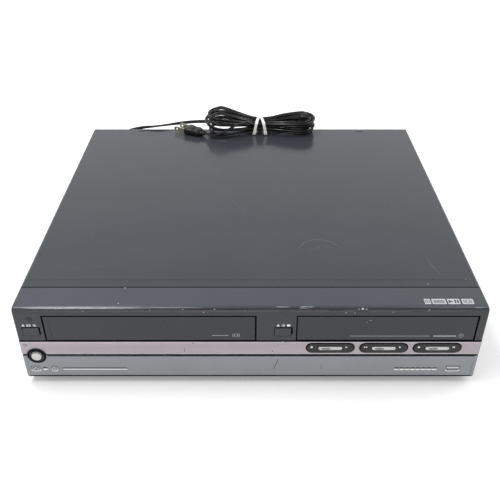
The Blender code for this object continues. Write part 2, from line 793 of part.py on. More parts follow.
def cassette_door():
    wide = around(DECK_X, DOOR_WIDTH)
    plate = box(wide, (0, DOOR_THICKNESS), (DOOR_BOTTOM, DOOR_TOP))
    axis = (DECK_X, DOOR_AXIS[1], DOOR_AXIS[2])
    obj = solid("cassette_door", plate, "door_black", axis)
    _, y, z = axis
    reach = DOOR_WIDTH / 2
    for side in (-1, 1):
        root = DECK_X + side * (reach - LUG_LENGTH)
        tip = DECK_X + side * (reach + DOOR_PIN_LENGTH)
        shape(obj, rod((root, y, z), (tip, y, z), DOOR_PIN_RADIUS), "UNION")
    return obj


def power_ring():
    outer_edge = CAP_EDGE
    profile = [
        (RING_BORE, -RING_DEPTH),
        (RING_RADIUS, -RING_DEPTH),
        (RING_RADIUS, RING_PROUD - outer_edge),
        (RING_RADIUS - outer_edge, RING_PROUD),
        (RING_BORE, RING_PROUD - outer_edge),
    ]
    bm = turned(profile, (POWER_X, 0, POWER_Z), (0, -1, 0), 32)
    return solid("power_ring", bm, "key_black")


def power_button():
    profile = [
        (0, -CAP_DEPTH),
        (CAP_RADIUS / 2, -CAP_DEPTH),
        (CAP_RADIUS / 2, -RING_DEPTH),
        (CAP_RADIUS, -RING_DEPTH),
        (CAP_RADIUS, CAP_PROUD - CAP_EDGE),
        (CAP_RADIUS - CAP_EDGE, CAP_PROUD),
        (0, CAP_PROUD),
    ]
    at = (POWER_X, 0, POWER_Z)
    return solid("power_button", turned(profile, at, (0, -1, 0), 28), "button_silver", at)


def eject_key(side):
    x = EJECT_XS[side]
    deep = (-EJECT_PROUD, EJECT_DEPTH)
    bm = box(around(x, EJECT_WIDTH), deep, around(EJECT_Z, EJECT_HEIGHT))
    soft_front(bm, -EJECT_PROUD, EJECT_EDGE)
    return solid(f"{side}_eject_key", bm, "fascia_plastic", (x, 0, EJECT_Z))


def rocker_key(side):
    """A round-ended key that tilts about its own upright middle line, open round the select key."""
    x = ROCKER_XS[side]
    outline = stadium((x, STRIP_MIDDLE), ROCKER_WIDTH, ROCKER_HEIGHT)
    bm = prism(outline, "Y", (-ROCKER_PROUD, ROCKER_DEPTH))
    soft_front(bm, -ROCKER_PROUD, ROCKER_EDGE)
    obj = solid(f"rocker_key_{side}", bm, "key_black", (x, ROCKER_DEPTH, STRIP_MIDDLE))
    size = SELECT_WIDTH + 2 * ROCKER_SWAY, SELECT_HEIGHT + 2 * PANEL_GAP
    through = (-ROCKER_PROUD - OVERRUN, ROCKER_DEPTH + OVERRUN)
    return shape(obj, prism(stadium((x, STRIP_MIDDLE), *size), "Y", through))


def select_key(side):
    x = ROCKER_XS[side]
    outline = stadium((x, STRIP_MIDDLE), SELECT_WIDTH, SELECT_HEIGHT, 6)
    bm = prism(outline, "Y", (-SELECT_PROUD, SELECT_DEPTH - SELECT_PROUD))
    soft_front(bm, -SELECT_PROUD, SELECT_EDGE)
    return solid(f"select_key_{side}", bm, "button_silver", (x, 0, STRIP_MIDDLE))


def key_bracket():
    """The moulding behind the strip, with a fulcrum above and below each select key."""
    face = max(ROCKER_DEPTH + FULCRUM_HEIGHT, SELECT_DEPTH - SELECT_PROUD + 2 * SELECT_TRAVEL)
    deep = (face, face + BRACKET_THICKNESS)
    tall = (STRIP_BOTTOM + PANEL_GAP, STRIP_TOP - PANEL_GAP)
    reach = ROCKER_PITCH + ROCKER_WIDTH / 2 + ROCKER_SWAY
    ends = (LID_X - reach - BRACKET_LEG, LID_X + reach + BRACKET_LEG)
    obj = solid("key_bracket", box(ends, deep, tall), "moulding_black")
    legs = [((ends[0], ends[0] + BRACKET_LEG), (FASCIA_WALL + TOUCH, deep[1]), tall)]
    legs.append(((ends[1] - BRACKET_LEG, ends[1]), (FASCIA_WALL + TOUCH, deep[1]), tall))
    shape(obj, boxes(legs), "UNION")
    clear = SELECT_HEIGHT / 2 + 2 * PANEL_GAP
    ridges = []
    for x in ROCKER_XS.values():
        for low, high in ((clear, ROCKER_HEIGHT / 2), (-ROCKER_HEIGHT / 2, -clear)):
            wide = (x - FULCRUM_HALF, x + FULCRUM_HALF)
            height = (STRIP_MIDDLE + low, STRIP_MIDDLE + high)
            ridges.append((wide, (ROCKER_DEPTH + TOUCH, middle(deep)), height))
    return shape(obj, boxes(ridges), "UNION")


def bay_middle():
    return (BAY_SILL + BAY_CEILING) / 2


def bay_jack_xs():
    right = FRONT_HALF - FASCIA_SIDE - JACK_BLOCK_FROM_SIDE
    centre = right - JACK_BLOCK_LENGTH / 2
    return [centre + JACK_PITCH * (i - (BAY_JACKS - 1) / 2) for i in range(BAY_JACKS)]


def bay_key_xs():
    left = min(bay_jack_xs()) - BAY_KEY_FROM_BLOCK
    return {"down": left - BAY_KEY_PITCH, "up": left}


def add_jacks(obj, places, face_y, direction, reach):
    """Adds barrels to a jack block, each with its contact bore, pointing along direction in Y."""
    for x, z in places:
        tip = face_y + direction * reach
        start = face_y - direction * OVERRUN
        shape(obj, rod((x, start, z), (x, tip, z), JACK_RADIUS, 16), "UNION")
    bores = bmesh.new()
    for x, z in places:
        tip = face_y + direction * reach
        end = tip - direction * JACK_BORE_DEPTH
        add_rod(bores, (x, tip + direction * OVERRUN, z), (x, end, z), JACK_BORE, 8)
    return shape(obj, bores)


def front_jack_block():
    xs = bay_jack_xs()
    face = BAY_BACK + TOUCH
    wide = around(middle((xs[0], xs[-1])), JACK_BLOCK_LENGTH)
    tall = around(bay_middle(), JACK_BLOCK_HEIGHT)
    obj = solid("front_jack_block", box(wide, (face, face + JACK_BLOCK_DEPTH), tall), "moulding_black")
    places = [(x, bay_middle()) for x in xs]
    return add_jacks(obj, places, face, -1, face - BAY_DEPTH + BAY_JACK_REACH)


def channel_key(side):
    x = bay_key_xs()[side]
    at = (x, BAY_DEPTH, bay_middle())
    profile = [
        (0, -BAY_WALL - BAY_KEY_TRAVEL - BAY_KEY_FLANGE_THICKNESS),
        (BAY_KEY_FLANGE, -BAY_WALL - BAY_KEY_TRAVEL - BAY_KEY_FLANGE_THICKNESS),
        (BAY_KEY_FLANGE, -BAY_WALL - TOUCH),
        (BAY_KEY_RADIUS, -BAY_WALL - TOUCH),
        (BAY_KEY_RADIUS, BAY_KEY_PROUD - CAP_EDGE),
        (BAY_KEY_RADIUS - CAP_EDGE, BAY_KEY_PROUD),
        (0, BAY_KEY_PROUD),
    ]
    return solid(f"channel_key_{side}", turned(profile, at, (0, -1, 0), 16), "key_black", at)


def front_board():
    ends = (POWER_X + SEAT_RADIUS + RUNNING, LID_X + LID_WIDTH / 2 - FRONT_BOARD_END)
    deep = (FRONT_BOARD_BACK, FRONT_BOARD_BACK + BOARD)
    tall = (STRIP_BOTTOM + TOUCH, DOOR_BOTTOM - RUNNING - SHEET)
    obj = solid("front_board", box(ends, deep, tall), "board_green")
    reach = FRONT_BOARD_BACK - FASCIA_WALL - TOUCH
    arms = [ends[0] + BRACKET_LEG, DECK_X, EJECT_XS["disc"]]
    legs = [(around(x, BRACKET_LEG), (FRONT_BOARD_BACK - reach, deep[1]), tall) for x in arms]
    return shape(obj, boxes(legs), "UNION")


def floor_slots(x):
    spans = []
    for i in range(FLOOR_SLOTS):
        y = FLOOR_SLOT_START + FLOOR_SLOT_PITCH * i
        tall = (CHASSIS_RISE - OVERRUN, CHASSIS_TOP + OVERRUN)
        spans.append((around(x, FLOOR_SLOT_LENGTH), around(y, FLOOR_SLOT_WIDTH), tall))
    return boxes(spans)


def posts(points, top):
    """Hexagonal posts from the chassis floor up to a piece whose underside is at top."""
    foot = middle((CHASSIS_RISE, CHASSIS_TOP))
    return rods([((x, y, foot), (x, y, top - TOUCH)) for x, y in points], POST_RADIUS, 6)


def inset_corners(x, y, inset):
    return [(a, b) for a in (x[0] + inset, x[1] - inset) for b in (y[0] + inset, y[1] - inset)]


def chassis_base():
    """A folded tray, open at the back, with a post under each corner of what it carries."""
    deep = (SEAM, REAR_INSIDE - TOUCH)
    tall = (CHASSIS_RISE, CHASSIS_RISE + CHASSIS_FLANGE)
    obj = solid("chassis_base", box((-INSIDE_HALF, INSIDE_HALF), deep, tall), "zinc_steel")
    inner = INSIDE_HALF - SHEET
    hollow = (-inner, inner), (SEAM + SHEET, REAR_INSIDE + OVERRUN), (CHASSIS_TOP, tall[1] + OVERRUN)
    shape(obj, box(*hollow))
    shape(obj, floor_slots(DECK_X))
    shape(obj, floor_slots(LID_X))
    shape(obj, posts(inset_corners(*deck_plan(), DECK_POST_INSET), DECK_RISE), "UNION")
    shape(obj, posts(inset_corners(*drive_plan(), DRIVE_POST_INSET), DRIVE_RISE), "UNION")
    shape(obj, posts(inset_corners(*main_board_plan(), BOARD_POST_INSET), BOARD_RISE), "UNION")
    return shape(obj, posts(inset_corners(*power_board_plan(), BOARD_POST_INSET), BOARD_RISE), "UNION")


def rear_panel():
    """The back of the chassis, with a flange under the cover, the grille and the socket holes."""
    tall = (CHASSIS_RISE, COVER_UNDER - TOUCH)
    corner = (INSIDE_HALF - COVER_BEND, tall[1] - COVER_BEND)
    right = [(INSIDE_HALF, tall[0])] + arc(corner, COVER_BEND, 0, 1, 3)
    outline = right + [(-x, z) for x, z in reversed(right)]
    obj = solid("rear_panel", prism(outline, "Y", (REAR_INSIDE, REAR_FACE)), "zinc_steel")
    inner = INSIDE_HALF - COVER_BEND
    flange = (-inner, inner), (REAR_INSIDE - REAR_FLANGE, middle((REAR_INSIDE, REAR_FACE)))
    shape(obj, box(*flange, (tall[1] - SHEET, tall[1])), "UNION")
    shape(obj, grille_slots())
    through = (REAR_INSIDE - OVERRUN, REAR_FACE + OVERRUN)
    bm = bmesh.new()
    for x, z in rear_jack_places():
        add_rod(bm, (x, through[0], z), (x, through[1], z), JACK_RADIUS + PANEL_GAP)
    for x, z in coax_places():
        add_rod(bm, (x, through[0], z), (x, through[1], z), COAX_RADIUS + PANEL_GAP)
    gland = GLAND_NECK + TOUCH
    add_rod(bm, (GLAND_X, through[0], GLAND_RISE), (GLAND_X, through[1], GLAND_RISE), gland)
    port, optical = port_places()
    size = 2 * (PORT_WALL + PANEL_GAP)
    add_box(bm, around(port[0], PORT_WIDTH + size), through, around(port[1], PORT_HEIGHT + size))
    size = OPTICAL_SIDE + 2 * PANEL_GAP
    add_box(bm, around(optical[0], size), through, around(optical[1], size))
    return shape(obj, bm)


def fan_centre():
    x = INSIDE_HALF - FAN_FROM_SIDE - FAN_SIDE / 2
    return x, FAN_RISE + FAN_SIDE / 2


def grille_slots():
    """Level slots of unlike length that fill the fan's circle."""
    x, z = fan_centre()
    deep = (REAR_INSIDE - OVERRUN, REAR_FACE + OVERRUN)
    spans = []
    for i in range(GRILLE_SLOTS):
        rise = GRILLE_PITCH * (i - (GRILLE_SLOTS - 1) / 2)
        reach = math.sqrt(FAN_BORE**2 - (abs(rise) + GRILLE_SLOT_HEIGHT / 2) ** 2)
        spans.append(((x - reach, x + reach), deep, around(z + rise, GRILLE_SLOT_HEIGHT)))
    return boxes(spans)


def top_cover():
    """One sheet bent down over both sides, with a pressed bead near the seam and side vents."""
    half = COVER_WIDTH / 2
    foot = COVER_HEM_RISE
    bend = (half - COVER_BEND, BODY_HEIGHT - COVER_BEND)
    outer = [(half, foot)] + arc(bend, COVER_BEND, 0, 1, 4)
    inner = arc(bend, COVER_BEND - SHEET, 1, 0, 4) + [(half - SHEET, foot)]
    mirrored = [[(-x, z) for x, z in reversed(line)] for line in (inner, outer)]
    outline = outer + mirrored[1] + mirrored[0] + inner
    obj = solid("top_cover", prism(outline, "Y", (SEAM, BODY_DEPTH)), "cover_paint")
    bead = FASCIA_DEPTH + BEAD_FROM_SEAM
    groove = [
        (bead - BEAD_WIDTH / 2, BODY_HEIGHT + BEAD_DEPTH),
        (bead + BEAD_WIDTH / 2, BODY_HEIGHT + BEAD_DEPTH),
        (bead, BODY_HEIGHT - BEAD_DEPTH),
    ]
    shape(obj, prism(groove, "X", (-half - OVERRUN, half + OVERRUN)))
    spans = []
    for side in (-1, 1):
        across = sorted((side * (half - SHEET - OVERRUN), side * (half + OVERRUN)))
        for i in range(SIDE_SLOTS):
            deep = around(SIDE_SLOT_START + SIDE_SLOT_PITCH * i, SIDE_SLOT_WIDTH)
            spans.append((across, deep, (SIDE_SLOT_FOOT, SIDE_SLOT_FOOT + SIDE_SLOT_HEIGHT)))
        deep = around(BODY_DEPTH - BACK_TAB_INSET, BACK_TAB_LENGTH)
        tall = (COVER_UNDER - OVERRUN, BODY_HEIGHT + OVERRUN)
        spans.append((around(side * BACK_TAB_OFFSET, BACK_TAB_WIDTH), deep, tall))
    return shape(obj, boxes(spans))


def foot_places():
    x = COVER_WIDTH / 2 - FOOT_FROM_SIDE
    front, back = FOOT_FROM_FRONT, BODY_DEPTH - FOOT_FROM_BACK
    return {
        "front_left": (-x, front),
        "front_right": (x, front),
        "back_left": (-x, back),
        "back_right": (x, back),
    }


def foot(corner):
    x, y = foot_places()[corner]
    top = CHASSIS_RISE - TOUCH
    profile = [
        (0, -FOOT_HEIGHT),
        (FOOT_RADIUS - FOOT_EDGE, -FOOT_HEIGHT),
        (FOOT_RADIUS, -FOOT_HEIGHT + FOOT_EDGE),
        (FOOT_TOP_RADIUS, top),
        (0, top),
    ]
    return solid(f"foot_{corner}", turned(profile, (x, y, 0), (0, 0, 1), 28), "foot_rubber")


def basket_inner_half():
    return CASSETTE_WIDTH / 2 + BASKET_CLEARANCE


def basket_spans():
    """The basket's outer size at rest: across, along and up."""
    half = basket_inner_half() + SHEET
    start = FASCIA_DEPTH + BASKET_FROM_FASCIA
    tall = (BASKET_FOOT, BASKET_TOP)
    return (DECK_X - half, DECK_X + half), (start, start + BASKET_LENGTH), tall


def deck_plan():
    half = basket_inner_half() + 3 * SHEET + 2 * SLIDE_GAP
    return (DECK_X - half, DECK_X + half), (basket_spans()[1][0], basket_spans()[1][0] + DECK_LENGTH)


def basket_pins():
    """Where the basket's two pins on each side lie, along and up."""
    _, deep, tall = basket_spans()
    return [(middle(deep) + side * BASKET_PIN_SPREAD / 2, middle(tall)) for side in (-1, 1)]


def slider_pins():
    _, deep, _ = basket_spans()
    z = SLIDER_ROOF - SLIDER_PIN_DROP
    return [(middle(deep) + side * SLIDER_PIN_SPREAD / 2, z) for side in (-1, 1)]


def cassette_holder():
    """The sheet basket that takes the cassette: roof, sides and two ledges under its edges."""
    (left, right), deep, (foot, top) = basket_spans()
    ledge = BASKET_LEDGE
    outline = [
        (left, foot),
        (left + ledge, foot),
        (left + ledge, foot + SHEET),
        (left + SHEET, foot + SHEET),
        (left + SHEET, top - SHEET),
        (right - SHEET, top - SHEET),
        (right - SHEET, foot + SHEET),
        (right - ledge, foot + SHEET),
        (right - ledge, foot),
        (right, foot),
        (right, top),
        (left, top),
    ]
    obj = solid("cassette_holder", prism(outline, "Y", deep), "zinc_steel", (DECK_X, deep[0], top))
    stops = []
    for wide in ((left, left + ledge), (right - ledge, right)):
        stops.append((wide, (deep[1] - SHEET, deep[1]), (foot, foot + BASKET_STOP)))
    shape(obj, boxes(stops), "UNION")
    window = BASKET_WINDOW_MARGIN
    wide, along = (left + window, right - window), (deep[0] + window, deep[1] - window)
    shape(obj, box(wide, along, (top - SHEET - OVERRUN, top + OVERRUN)))
    reach = SHEET + SLIDE_GAP
    pins = []
    for y, z in basket_pins():
        pins.append(((left - reach, y, z), (left + SHEET / 2, y, z)))
        pins.append(((right - SHEET / 2, y, z), (right + reach, y, z)))
    return shape(obj, rods(pins, PIN_RADIUS, 8), "UNION")


def carriage_slider():
    """The frame that takes the basket in: two slotted side plates on a bar, with pins in the deck."""
    (left, right), deep, (foot, top) = basket_spans()
    near = SLIDE_GAP
    plates = [(left - near - SHEET, left - near), (right + near, right + near + SHEET)]
    back = deep[1] + SLIDER_TAIL
    pin_foot = basket_pins()[0][1] - BASKET_DOWN - PIN_RADIUS - 3 * PIN_FIT
    low = pin_foot - SHEET
    along = (min(basket_pins()[0][0], slider_pins()[0][0]) - 3 * PIN_RADIUS, back)
    bar = (plates[0][0], plates[1][1]), (back - SLIDER_BAR, back)
    obj = solid(
        "carriage_slider",
        box(*bar, (SLIDER_ROOF - SLIDER_BAR_HEIGHT, SLIDER_ROOF)),
        "zinc_steel",
        (DECK_X, back, SLIDER_ROOF),
    )
    for wide in plates:
        shape(obj, box(wide, along, (low - SHEET, SLIDER_ROOF)), "UNION")
    slots, pins = [], []
    for y, z in basket_pins():
        tall = (pin_foot, z + PIN_RADIUS + PIN_FIT)
        across = around(y, 2 * (PIN_RADIUS + PIN_FIT))
        slots.append(((bar[0][0] - OVERRUN, left - SHEET / 2), across, tall))
        slots.append(((right + SHEET / 2, bar[0][1] + OVERRUN), across, tall))
    shape(obj, boxes(slots))
    for y, z in slider_pins():
        pins.append(((bar[0][0] - near - SHEET, y, z), (bar[0][0] + SHEET / 2, y, z)))
        pins.append(((bar[0][1] - SHEET / 2, y, z), (bar[0][1] + near + SHEET, y, z)))
    return shape(obj, rods(pins, PIN_RADIUS, 8), "UNION")


def drum_centre():
    return DECK_X, basket_spans()[1][1] + BASKET_IN + DRUM_FROM_BASKET


def capstan_place():
    x, y = drum_centre()
    return x + CAPSTAN_ASIDE, y - CAPSTAN_FROM_DRUM


def deck_chassis():
    """The deck's plate with a slotted wall each side, which guides the slider."""
    wide, deep = deck_plan()
    plate = box(wide, deep, (DECK_RISE, DECK_RISE + DECK_PLATE))
    obj = solid("deck_chassis", plate, "zinc_steel")
    _, along, _ = basket_spans()
    back = along[1] + SLIDER_TAIL + BASKET_IN + DECK_WALL_PAST_STOP
    walls = []
    for edge in ((wide[0], wide[0] + SHEET), (wide[1] - SHEET, wide[1])):
        walls.append((edge, (deep[0], back), (DECK_RISE, DECK_WALL_TOP)))
    shape(obj, boxes(walls), "UNION")
    (first, z), (last, _) = slider_pins()
    reach = PIN_RADIUS + PIN_FIT
    through = (wide[0] - OVERRUN, wide[1] + OVERRUN)
    shape(obj, box(through, (first - reach, last + BASKET_IN + reach), around(z, 2 * reach)))
    x, y = capstan_place()
    under, over = DECK_RISE - OVERRUN, DECK_RISE + DECK_PLATE + OVERRUN
    hole = CAPSTAN_RADIUS + PIN_FIT
    return shape(obj, rod((x, y, under), (x, y, over), hole))


def drum_lower():
    x, y = drum_centre()
    floor = DECK_RISE + DECK_PLATE + TOUCH
    base = (x, y, floor + DRUM_LIFT)
    bm = turned([(0, 0), (DRUM_RADIUS, 0), (DRUM_RADIUS, DRUM_HALF), (0, DRUM_HALF)], base, drum_axis())
    obj = solid("drum_lower", bm, "aluminium")
    return shape(obj, rod((x, y, floor), (x, y, base[2] + OVERRUN), DRUM_PEDESTAL, 16), "UNION")


def drum_axis():
    return 0, -math.sin(DRUM_TILT), math.cos(DRUM_TILT)


def drum_upper():
    x, y = drum_centre()
    base = Vector((x, y, DECK_RISE + DECK_PLATE + TOUCH + DRUM_LIFT))
    base += Vector(drum_axis()) * (DRUM_HALF + TOUCH)
    inner = DRUM_RADIUS - DRUM_GROOVE
    profile = [
        (0, 0),
        (inner, 0),
        (inner, DRUM_GROOVE),
        (DRUM_RADIUS, DRUM_GROOVE),
        (DRUM_RADIUS, DRUM_HALF),
        (DRUM_CAP_RADIUS, DRUM_HALF),
        (DRUM_CAP_RADIUS, DRUM_HALF + DRUM_CAP_RISE),
        (0, DRUM_HALF + DRUM_CAP_RISE),
    ]
    return solid("drum_upper", turned(profile, base, drum_axis()), "aluminium", base)


def reel(name, side):
    _, deep, _ = basket_spans()
    at = (DECK_X + side * REEL_SPREAD, deep[0] + BASKET_IN + REEL_FROM_BASKET, DECK_RISE + DECK_PLATE)
    profile = [
        (0, TOUCH),
        (REEL_DISC, TOUCH),
        (REEL_DISC, REEL_DISC_HEIGHT),
        (REEL_HUB, REEL_DISC_HEIGHT),
        (REEL_HUB, REEL_HUB_HEIGHT * REEL_SHOULDER_SHARE),
        (REEL_TIP, REEL_HUB_HEIGHT),
        (0, REEL_HUB_HEIGHT),
    ]
    return solid(name, turned(profile, at, (0, 0, 1), 20), "moulding_grey", at)


def capstan():
    x, y = capstan_place()
    top = DECK_RISE - FLYWHEEL_DROP + FLYWHEEL_HEIGHT
    profile = [
        (0, top - FLYWHEEL_HEIGHT),
        (FLYWHEEL_RADIUS, top - FLYWHEEL_HEIGHT),
        (FLYWHEEL_RADIUS, top),
        (CAPSTAN_SLEEVE, top),
        (CAPSTAN_SLEEVE, DECK_RISE - TOUCH),
        (CAPSTAN_RADIUS, DECK_RISE - TOUCH),
        (CAPSTAN_RADIUS, DECK_RISE + CAPSTAN_HEIGHT),
        (0, DECK_RISE + CAPSTAN_HEIGHT),
    ]
    at = (x, y, 0)
    return solid("capstan", turned(profile, at, (0, 0, 1), 20), "aluminium", at)


def tray_spans():
    foot = DOOR_BOTTOM + TRAY_RISE
    start = LID_THICKNESS + TOUCH
    return around(LID_X, TRAY_WIDTH), (start, start + TRAY_TRAVEL + TRAY_HELD), (foot, foot + TRAY_HEIGHT)


def disc_centre():
    return LID_X, tray_spans()[1][0] + DISC_FROM_LID


def drive_plan():
    half = TRAY_WIDTH / 2 + RUNNING + DRIVE_WALL
    start = FASCIA_DEPTH + BASKET_FROM_FASCIA
    return (LID_X - half, LID_X + half), (start, start + DRIVE_LENGTH)


def disc_tray():
    """The tray, with its two stepped disc wells and the slot over the pickup, open to the back."""
    wide, deep, tall = tray_spans()
    obj = solid("disc_tray", box(wide, deep, tall), "moulding_black", (LID_X, 0, tall[0]))
    x, y = disc_centre()
    well = tall[1] - RECESS_DEPTH
    profile = [
        (0, well - SMALL_RECESS_STEP),
        (DISC_SMALL_RADIUS + DISC_CLEARANCE, well - SMALL_RECESS_STEP),
        (DISC_SMALL_RADIUS + DISC_CLEARANCE, well),
        (DISC_RADIUS + DISC_CLEARANCE, well),
        (DISC_RADIUS + 2 * DISC_CLEARANCE, tall[1] + OVERRUN),
        (0, tall[1] + OVERRUN),
    ]
    shape(obj, turned(profile, (x, y, 0), (0, 0, 1), 40))
    across = around(x, TRAY_SLOT)
    slot = across, (y - TRAY_SLOT_LEAD, deep[1] + OVERRUN), (tall[0] - OVERRUN, tall[1] + OVERRUN)
    return shape(obj, box(*slot))


def tray_lid():
    wide = around(LID_X, LID_WIDTH)
    bm = soft_front(box(wide, (0, LID_THICKNESS), (DOOR_BOTTOM, DOOR_TOP)), 0, LID_EDGE)
    return solid("tray_lid", bm, "door_black", (LID_X, 0, DOOR_BOTTOM))


def drive_chassis():
    """A moulded trough whose ledges carry the tray."""
    wide, deep = drive_plan()
    tall = (DRIVE_RISE, DRIVE_WALL_TOP)
    obj = solid("drive_chassis", box(wide, deep, tall), "moulding_grey")
    ends = (deep[0] - OVERRUN, deep[1] - DRIVE_WALL)
    shelf = tray_spans()[2][0] - RUNNING
    upper = (wide[0] + DRIVE_WALL, wide[1] - DRIVE_WALL)
    lower = (upper[0] + DRIVE_LEDGE, upper[1] - DRIVE_LEDGE)
    floor = DRIVE_RISE + DRIVE_FLOOR
    outline = [
        (lower[0], floor),
        (lower[1], floor),
        (lower[1], shelf),
        (upper[1], shelf),
        (upper[1], tall[1] + OVERRUN),
        (upper[0], tall[1] + OVERRUN),
        (upper[0], shelf),
        (lower[0], shelf),
    ]
    return shape(obj, prism(outline, "Y", ends))


def traverse_spans():
    x, y = disc_centre()
    start = y - TRAVERSE_BEFORE_HUB
    foot = DRIVE_RISE + DRIVE_FLOOR + TOUCH
    wide = (x - TRAVERSE_HALF, x + TRAVERSE_HALF)
    return wide, (start, sled_window()[1] + TRAVERSE_END), (foot, foot + TRAVERSE_HEIGHT)


def sled_window():
    start = disc_centre()[1] + TRAVERSE_WINDOW_AFTER_HUB
    return start, start + SLED_LENGTH + SLED_TRAVEL + SLED_SPARE


def rod_height():
    return middle(traverse_spans()[2])


def traverse():
    """The frame under the tray: the spindle motor, and the two rods that the pickup runs on."""
    wide, deep, tall = traverse_spans()
    obj = solid("traverse", box(wide, deep, tall), "moulding_black")
    x, y = disc_centre()
    inner = (x - TRAVERSE_WINDOW_HALF, x + TRAVERSE_WINDOW_HALF)
    shape(obj, box(inner, sled_window(), (tall[0] - OVERRUN, tall[1] + OVERRUN)))
    ends = [sled_window()[0] - OVERRUN, sled_window()[1] + OVERRUN]
    rails = [[(x + side * ROD_SPREAD, end, rod_height()) for end in ends] for side in (-1, 1)]
    shape(obj, rods(rails, ROD_RADIUS, 8), "UNION")
    motor = (x, y, middle(tall)), (x, y, tall[1] + MOTOR_HEIGHT)
    return shape(obj, rod(*motor, MOTOR_RADIUS, 20), "UNION")


def optical_pickup():
    x, _ = disc_centre()
    start = sled_window()[0] + TOUCH
    half = TRAVERSE_WINDOW_HALF - RUNNING
    tall = (traverse_spans()[2][0], traverse_spans()[2][0] + SLED_HEIGHT)
    deep = (start, start + SLED_LENGTH)
    at = (x, start, tall[0])
    obj = solid("optical_pickup", box((x - half, x + half), deep, tall), "aluminium", at)
    holes = []
    for side in (-1, 1):
        across = x + side * ROD_SPREAD
        holes.append([(across, end, rod_height()) for end in (start - OVERRUN, deep[1] + OVERRUN)])
    shape(obj, rods(holes, ROD_RADIUS + ROD_FIT, 8))
    lens = (x, middle(deep), middle(tall)), (x, middle(deep), tall[1] + LENS_HEIGHT)
    return shape(obj, rod(*lens, LENS_RADIUS, 16), "UNION")


def table_top():
    return tray_spans()[2][1] - RECESS_DEPTH + TURNTABLE_LIFT


def disc_spindle():
    x, y = disc_centre()
    foot = traverse_spans()[2][1] + MOTOR_HEIGHT + TOUCH
    top = table_top()
    profile = [
        (0, foot),
        (SPINDLE_STEM, foot),
        (SPINDLE_STEM, top - TURNTABLE_HEIGHT),
        (TURNTABLE_RADIUS, top - TURNTABLE_HEIGHT),
        (TURNTABLE_RADIUS, top),
        (HUB_RADIUS, top),
        (HUB_TIP_RADIUS, top + HUB_HEIGHT),
        (0, top + HUB_HEIGHT),
    ]
    at = (x, y, 0)
    return solid("disc_spindle", turned(profile, at, (0, 0, 1)), "moulding_black", at)


def clamp_foot():
    return table_top() + HUB_HEIGHT + CLAMP_GAP


def bridge_foot():
    return max(DRIVE_WALL_TOP, clamp_foot() + CLAMP_THICKNESS + RUNNING) + TOUCH


def clamp_bridge():
    """The strap over the tray, on two legs, that the clamp hangs in."""
    wide, _ = drive_plan()
    x, y = disc_centre()
    deep = around(y, BRIDGE_LENGTH)
    tall = (bridge_foot(), bridge_foot() + BRIDGE_THICKNESS)
    obj = solid("clamp_bridge", box(wide, deep, tall), "zinc_steel")
    legs = []
    for edge in ((wide[0], wide[0] + DRIVE_WALL), (wide[1] - DRIVE_WALL, wide[1])):
        legs.append((edge, deep, (DRIVE_WALL_TOP + TOUCH, middle(tall))))
    shape(obj, boxes(legs), "UNION")
    hole = (x, y, tall[0] - OVERRUN), (x, y, tall[1] + OVERRUN)
    return shape(obj, rod(*hole, CLAMP_NECK + CLAMP_HOLE_FIT, 20))


def disc_clamp():
    x, y = disc_centre()
    foot = clamp_foot()
    top = bridge_foot() + BRIDGE_THICKNESS + TOUCH
    profile = [
        (0, foot),
        (CLAMP_RADIUS, foot),
        (CLAMP_RADIUS, foot + CLAMP_THICKNESS),
        (CLAMP_NECK, foot + CLAMP_THICKNESS),
        (CLAMP_NECK, top),
        (CLAMP_FLANGE, top),
        (CLAMP_FLANGE, top + CLAMP_FLANGE_THICKNESS),
        (0, top + CLAMP_FLANGE_THICKNESS),
    ]
    at = (x, y, 0)
    return solid("disc_clamp", turned(profile, at, (0, 0, 1)), "moulding_black", at)


def main_board_plan():
    wide, _ = drive_plan()
    back = REAR_INSIDE - MAIN_BOARD_END
    inside = (wide[0] + MAIN_BOARD_INSET, wide[1] - MAIN_BOARD_INSET)
    return inside, (MAIN_BOARD_START, back)


def main_board():
    wide, deep = main_board_plan()
    obj = solid("main_board", box(wide, deep, (BOARD_RISE, BOARD_RISE + BOARD)), "board_green")
    width, depth, height = CHIP_SIZE
    spans = []
    for i in range(CHIPS):
        y = middle(deep) + CHIP_PITCH * (i - (CHIPS - 1) / 2)
        tall = (BOARD_RISE + BOARD / 2, BOARD_RISE + BOARD + height)
        spans.append((around(middle(wide), width), around(y, depth), tall))
    return shape(obj, boxes(spans), "UNION")


def power_board_plan():
    left = -INSIDE_HALF + POWER_BOARD_FROM_SIDE
    back = REAR_INSIDE - POWER_BOARD_FROM_BACK
    return (left, left + POWER_BOARD_WIDTH), (back - POWER_BOARD_DEPTH, back)


def power_board():
    wide, deep = power_board_plan()
    top = BOARD_RISE + BOARD
    obj = solid("power_board", box(wide, deep, (BOARD_RISE, top)), "board_green")
    cans = []
    for i in range(CAPACITORS):
        x = wide[1] - CAPACITOR_RADIUS - BOARD_POST_INSET
        y = deep[0] + CAPACITOR_RADIUS + BOARD_POST_INSET + CAPACITOR_PITCH * i
        cans.append(((x, y, BOARD_RISE + BOARD / 2), (x, y, top + CAPACITOR_HEIGHT)))
    return shape(obj, rods(cans, CAPACITOR_RADIUS, 16), "UNION")


def transformer():
    """A laminated core with its winding standing out of both faces."""
    wide, deep = power_board_plan()
    width, depth, height = CORE_SIZE
    left = wide[0] + CORE_FROM_BOARD_EDGE
    y = middle(deep)
    foot = BOARD_RISE + BOARD + TOUCH
    core = (left, left + width), around(y, depth * CORE_DEPTH_SHARE), (foot, foot + height)
    obj = solid("transformer", box(*core), "copper_winding")
    z = foot + height / 2
    ends = [(left + width / 2, y + side * depth / 2, z) for side in (-1, 1)]
    return shape(obj, rod(*ends, WINDING_RADIUS, 16), "UNION")


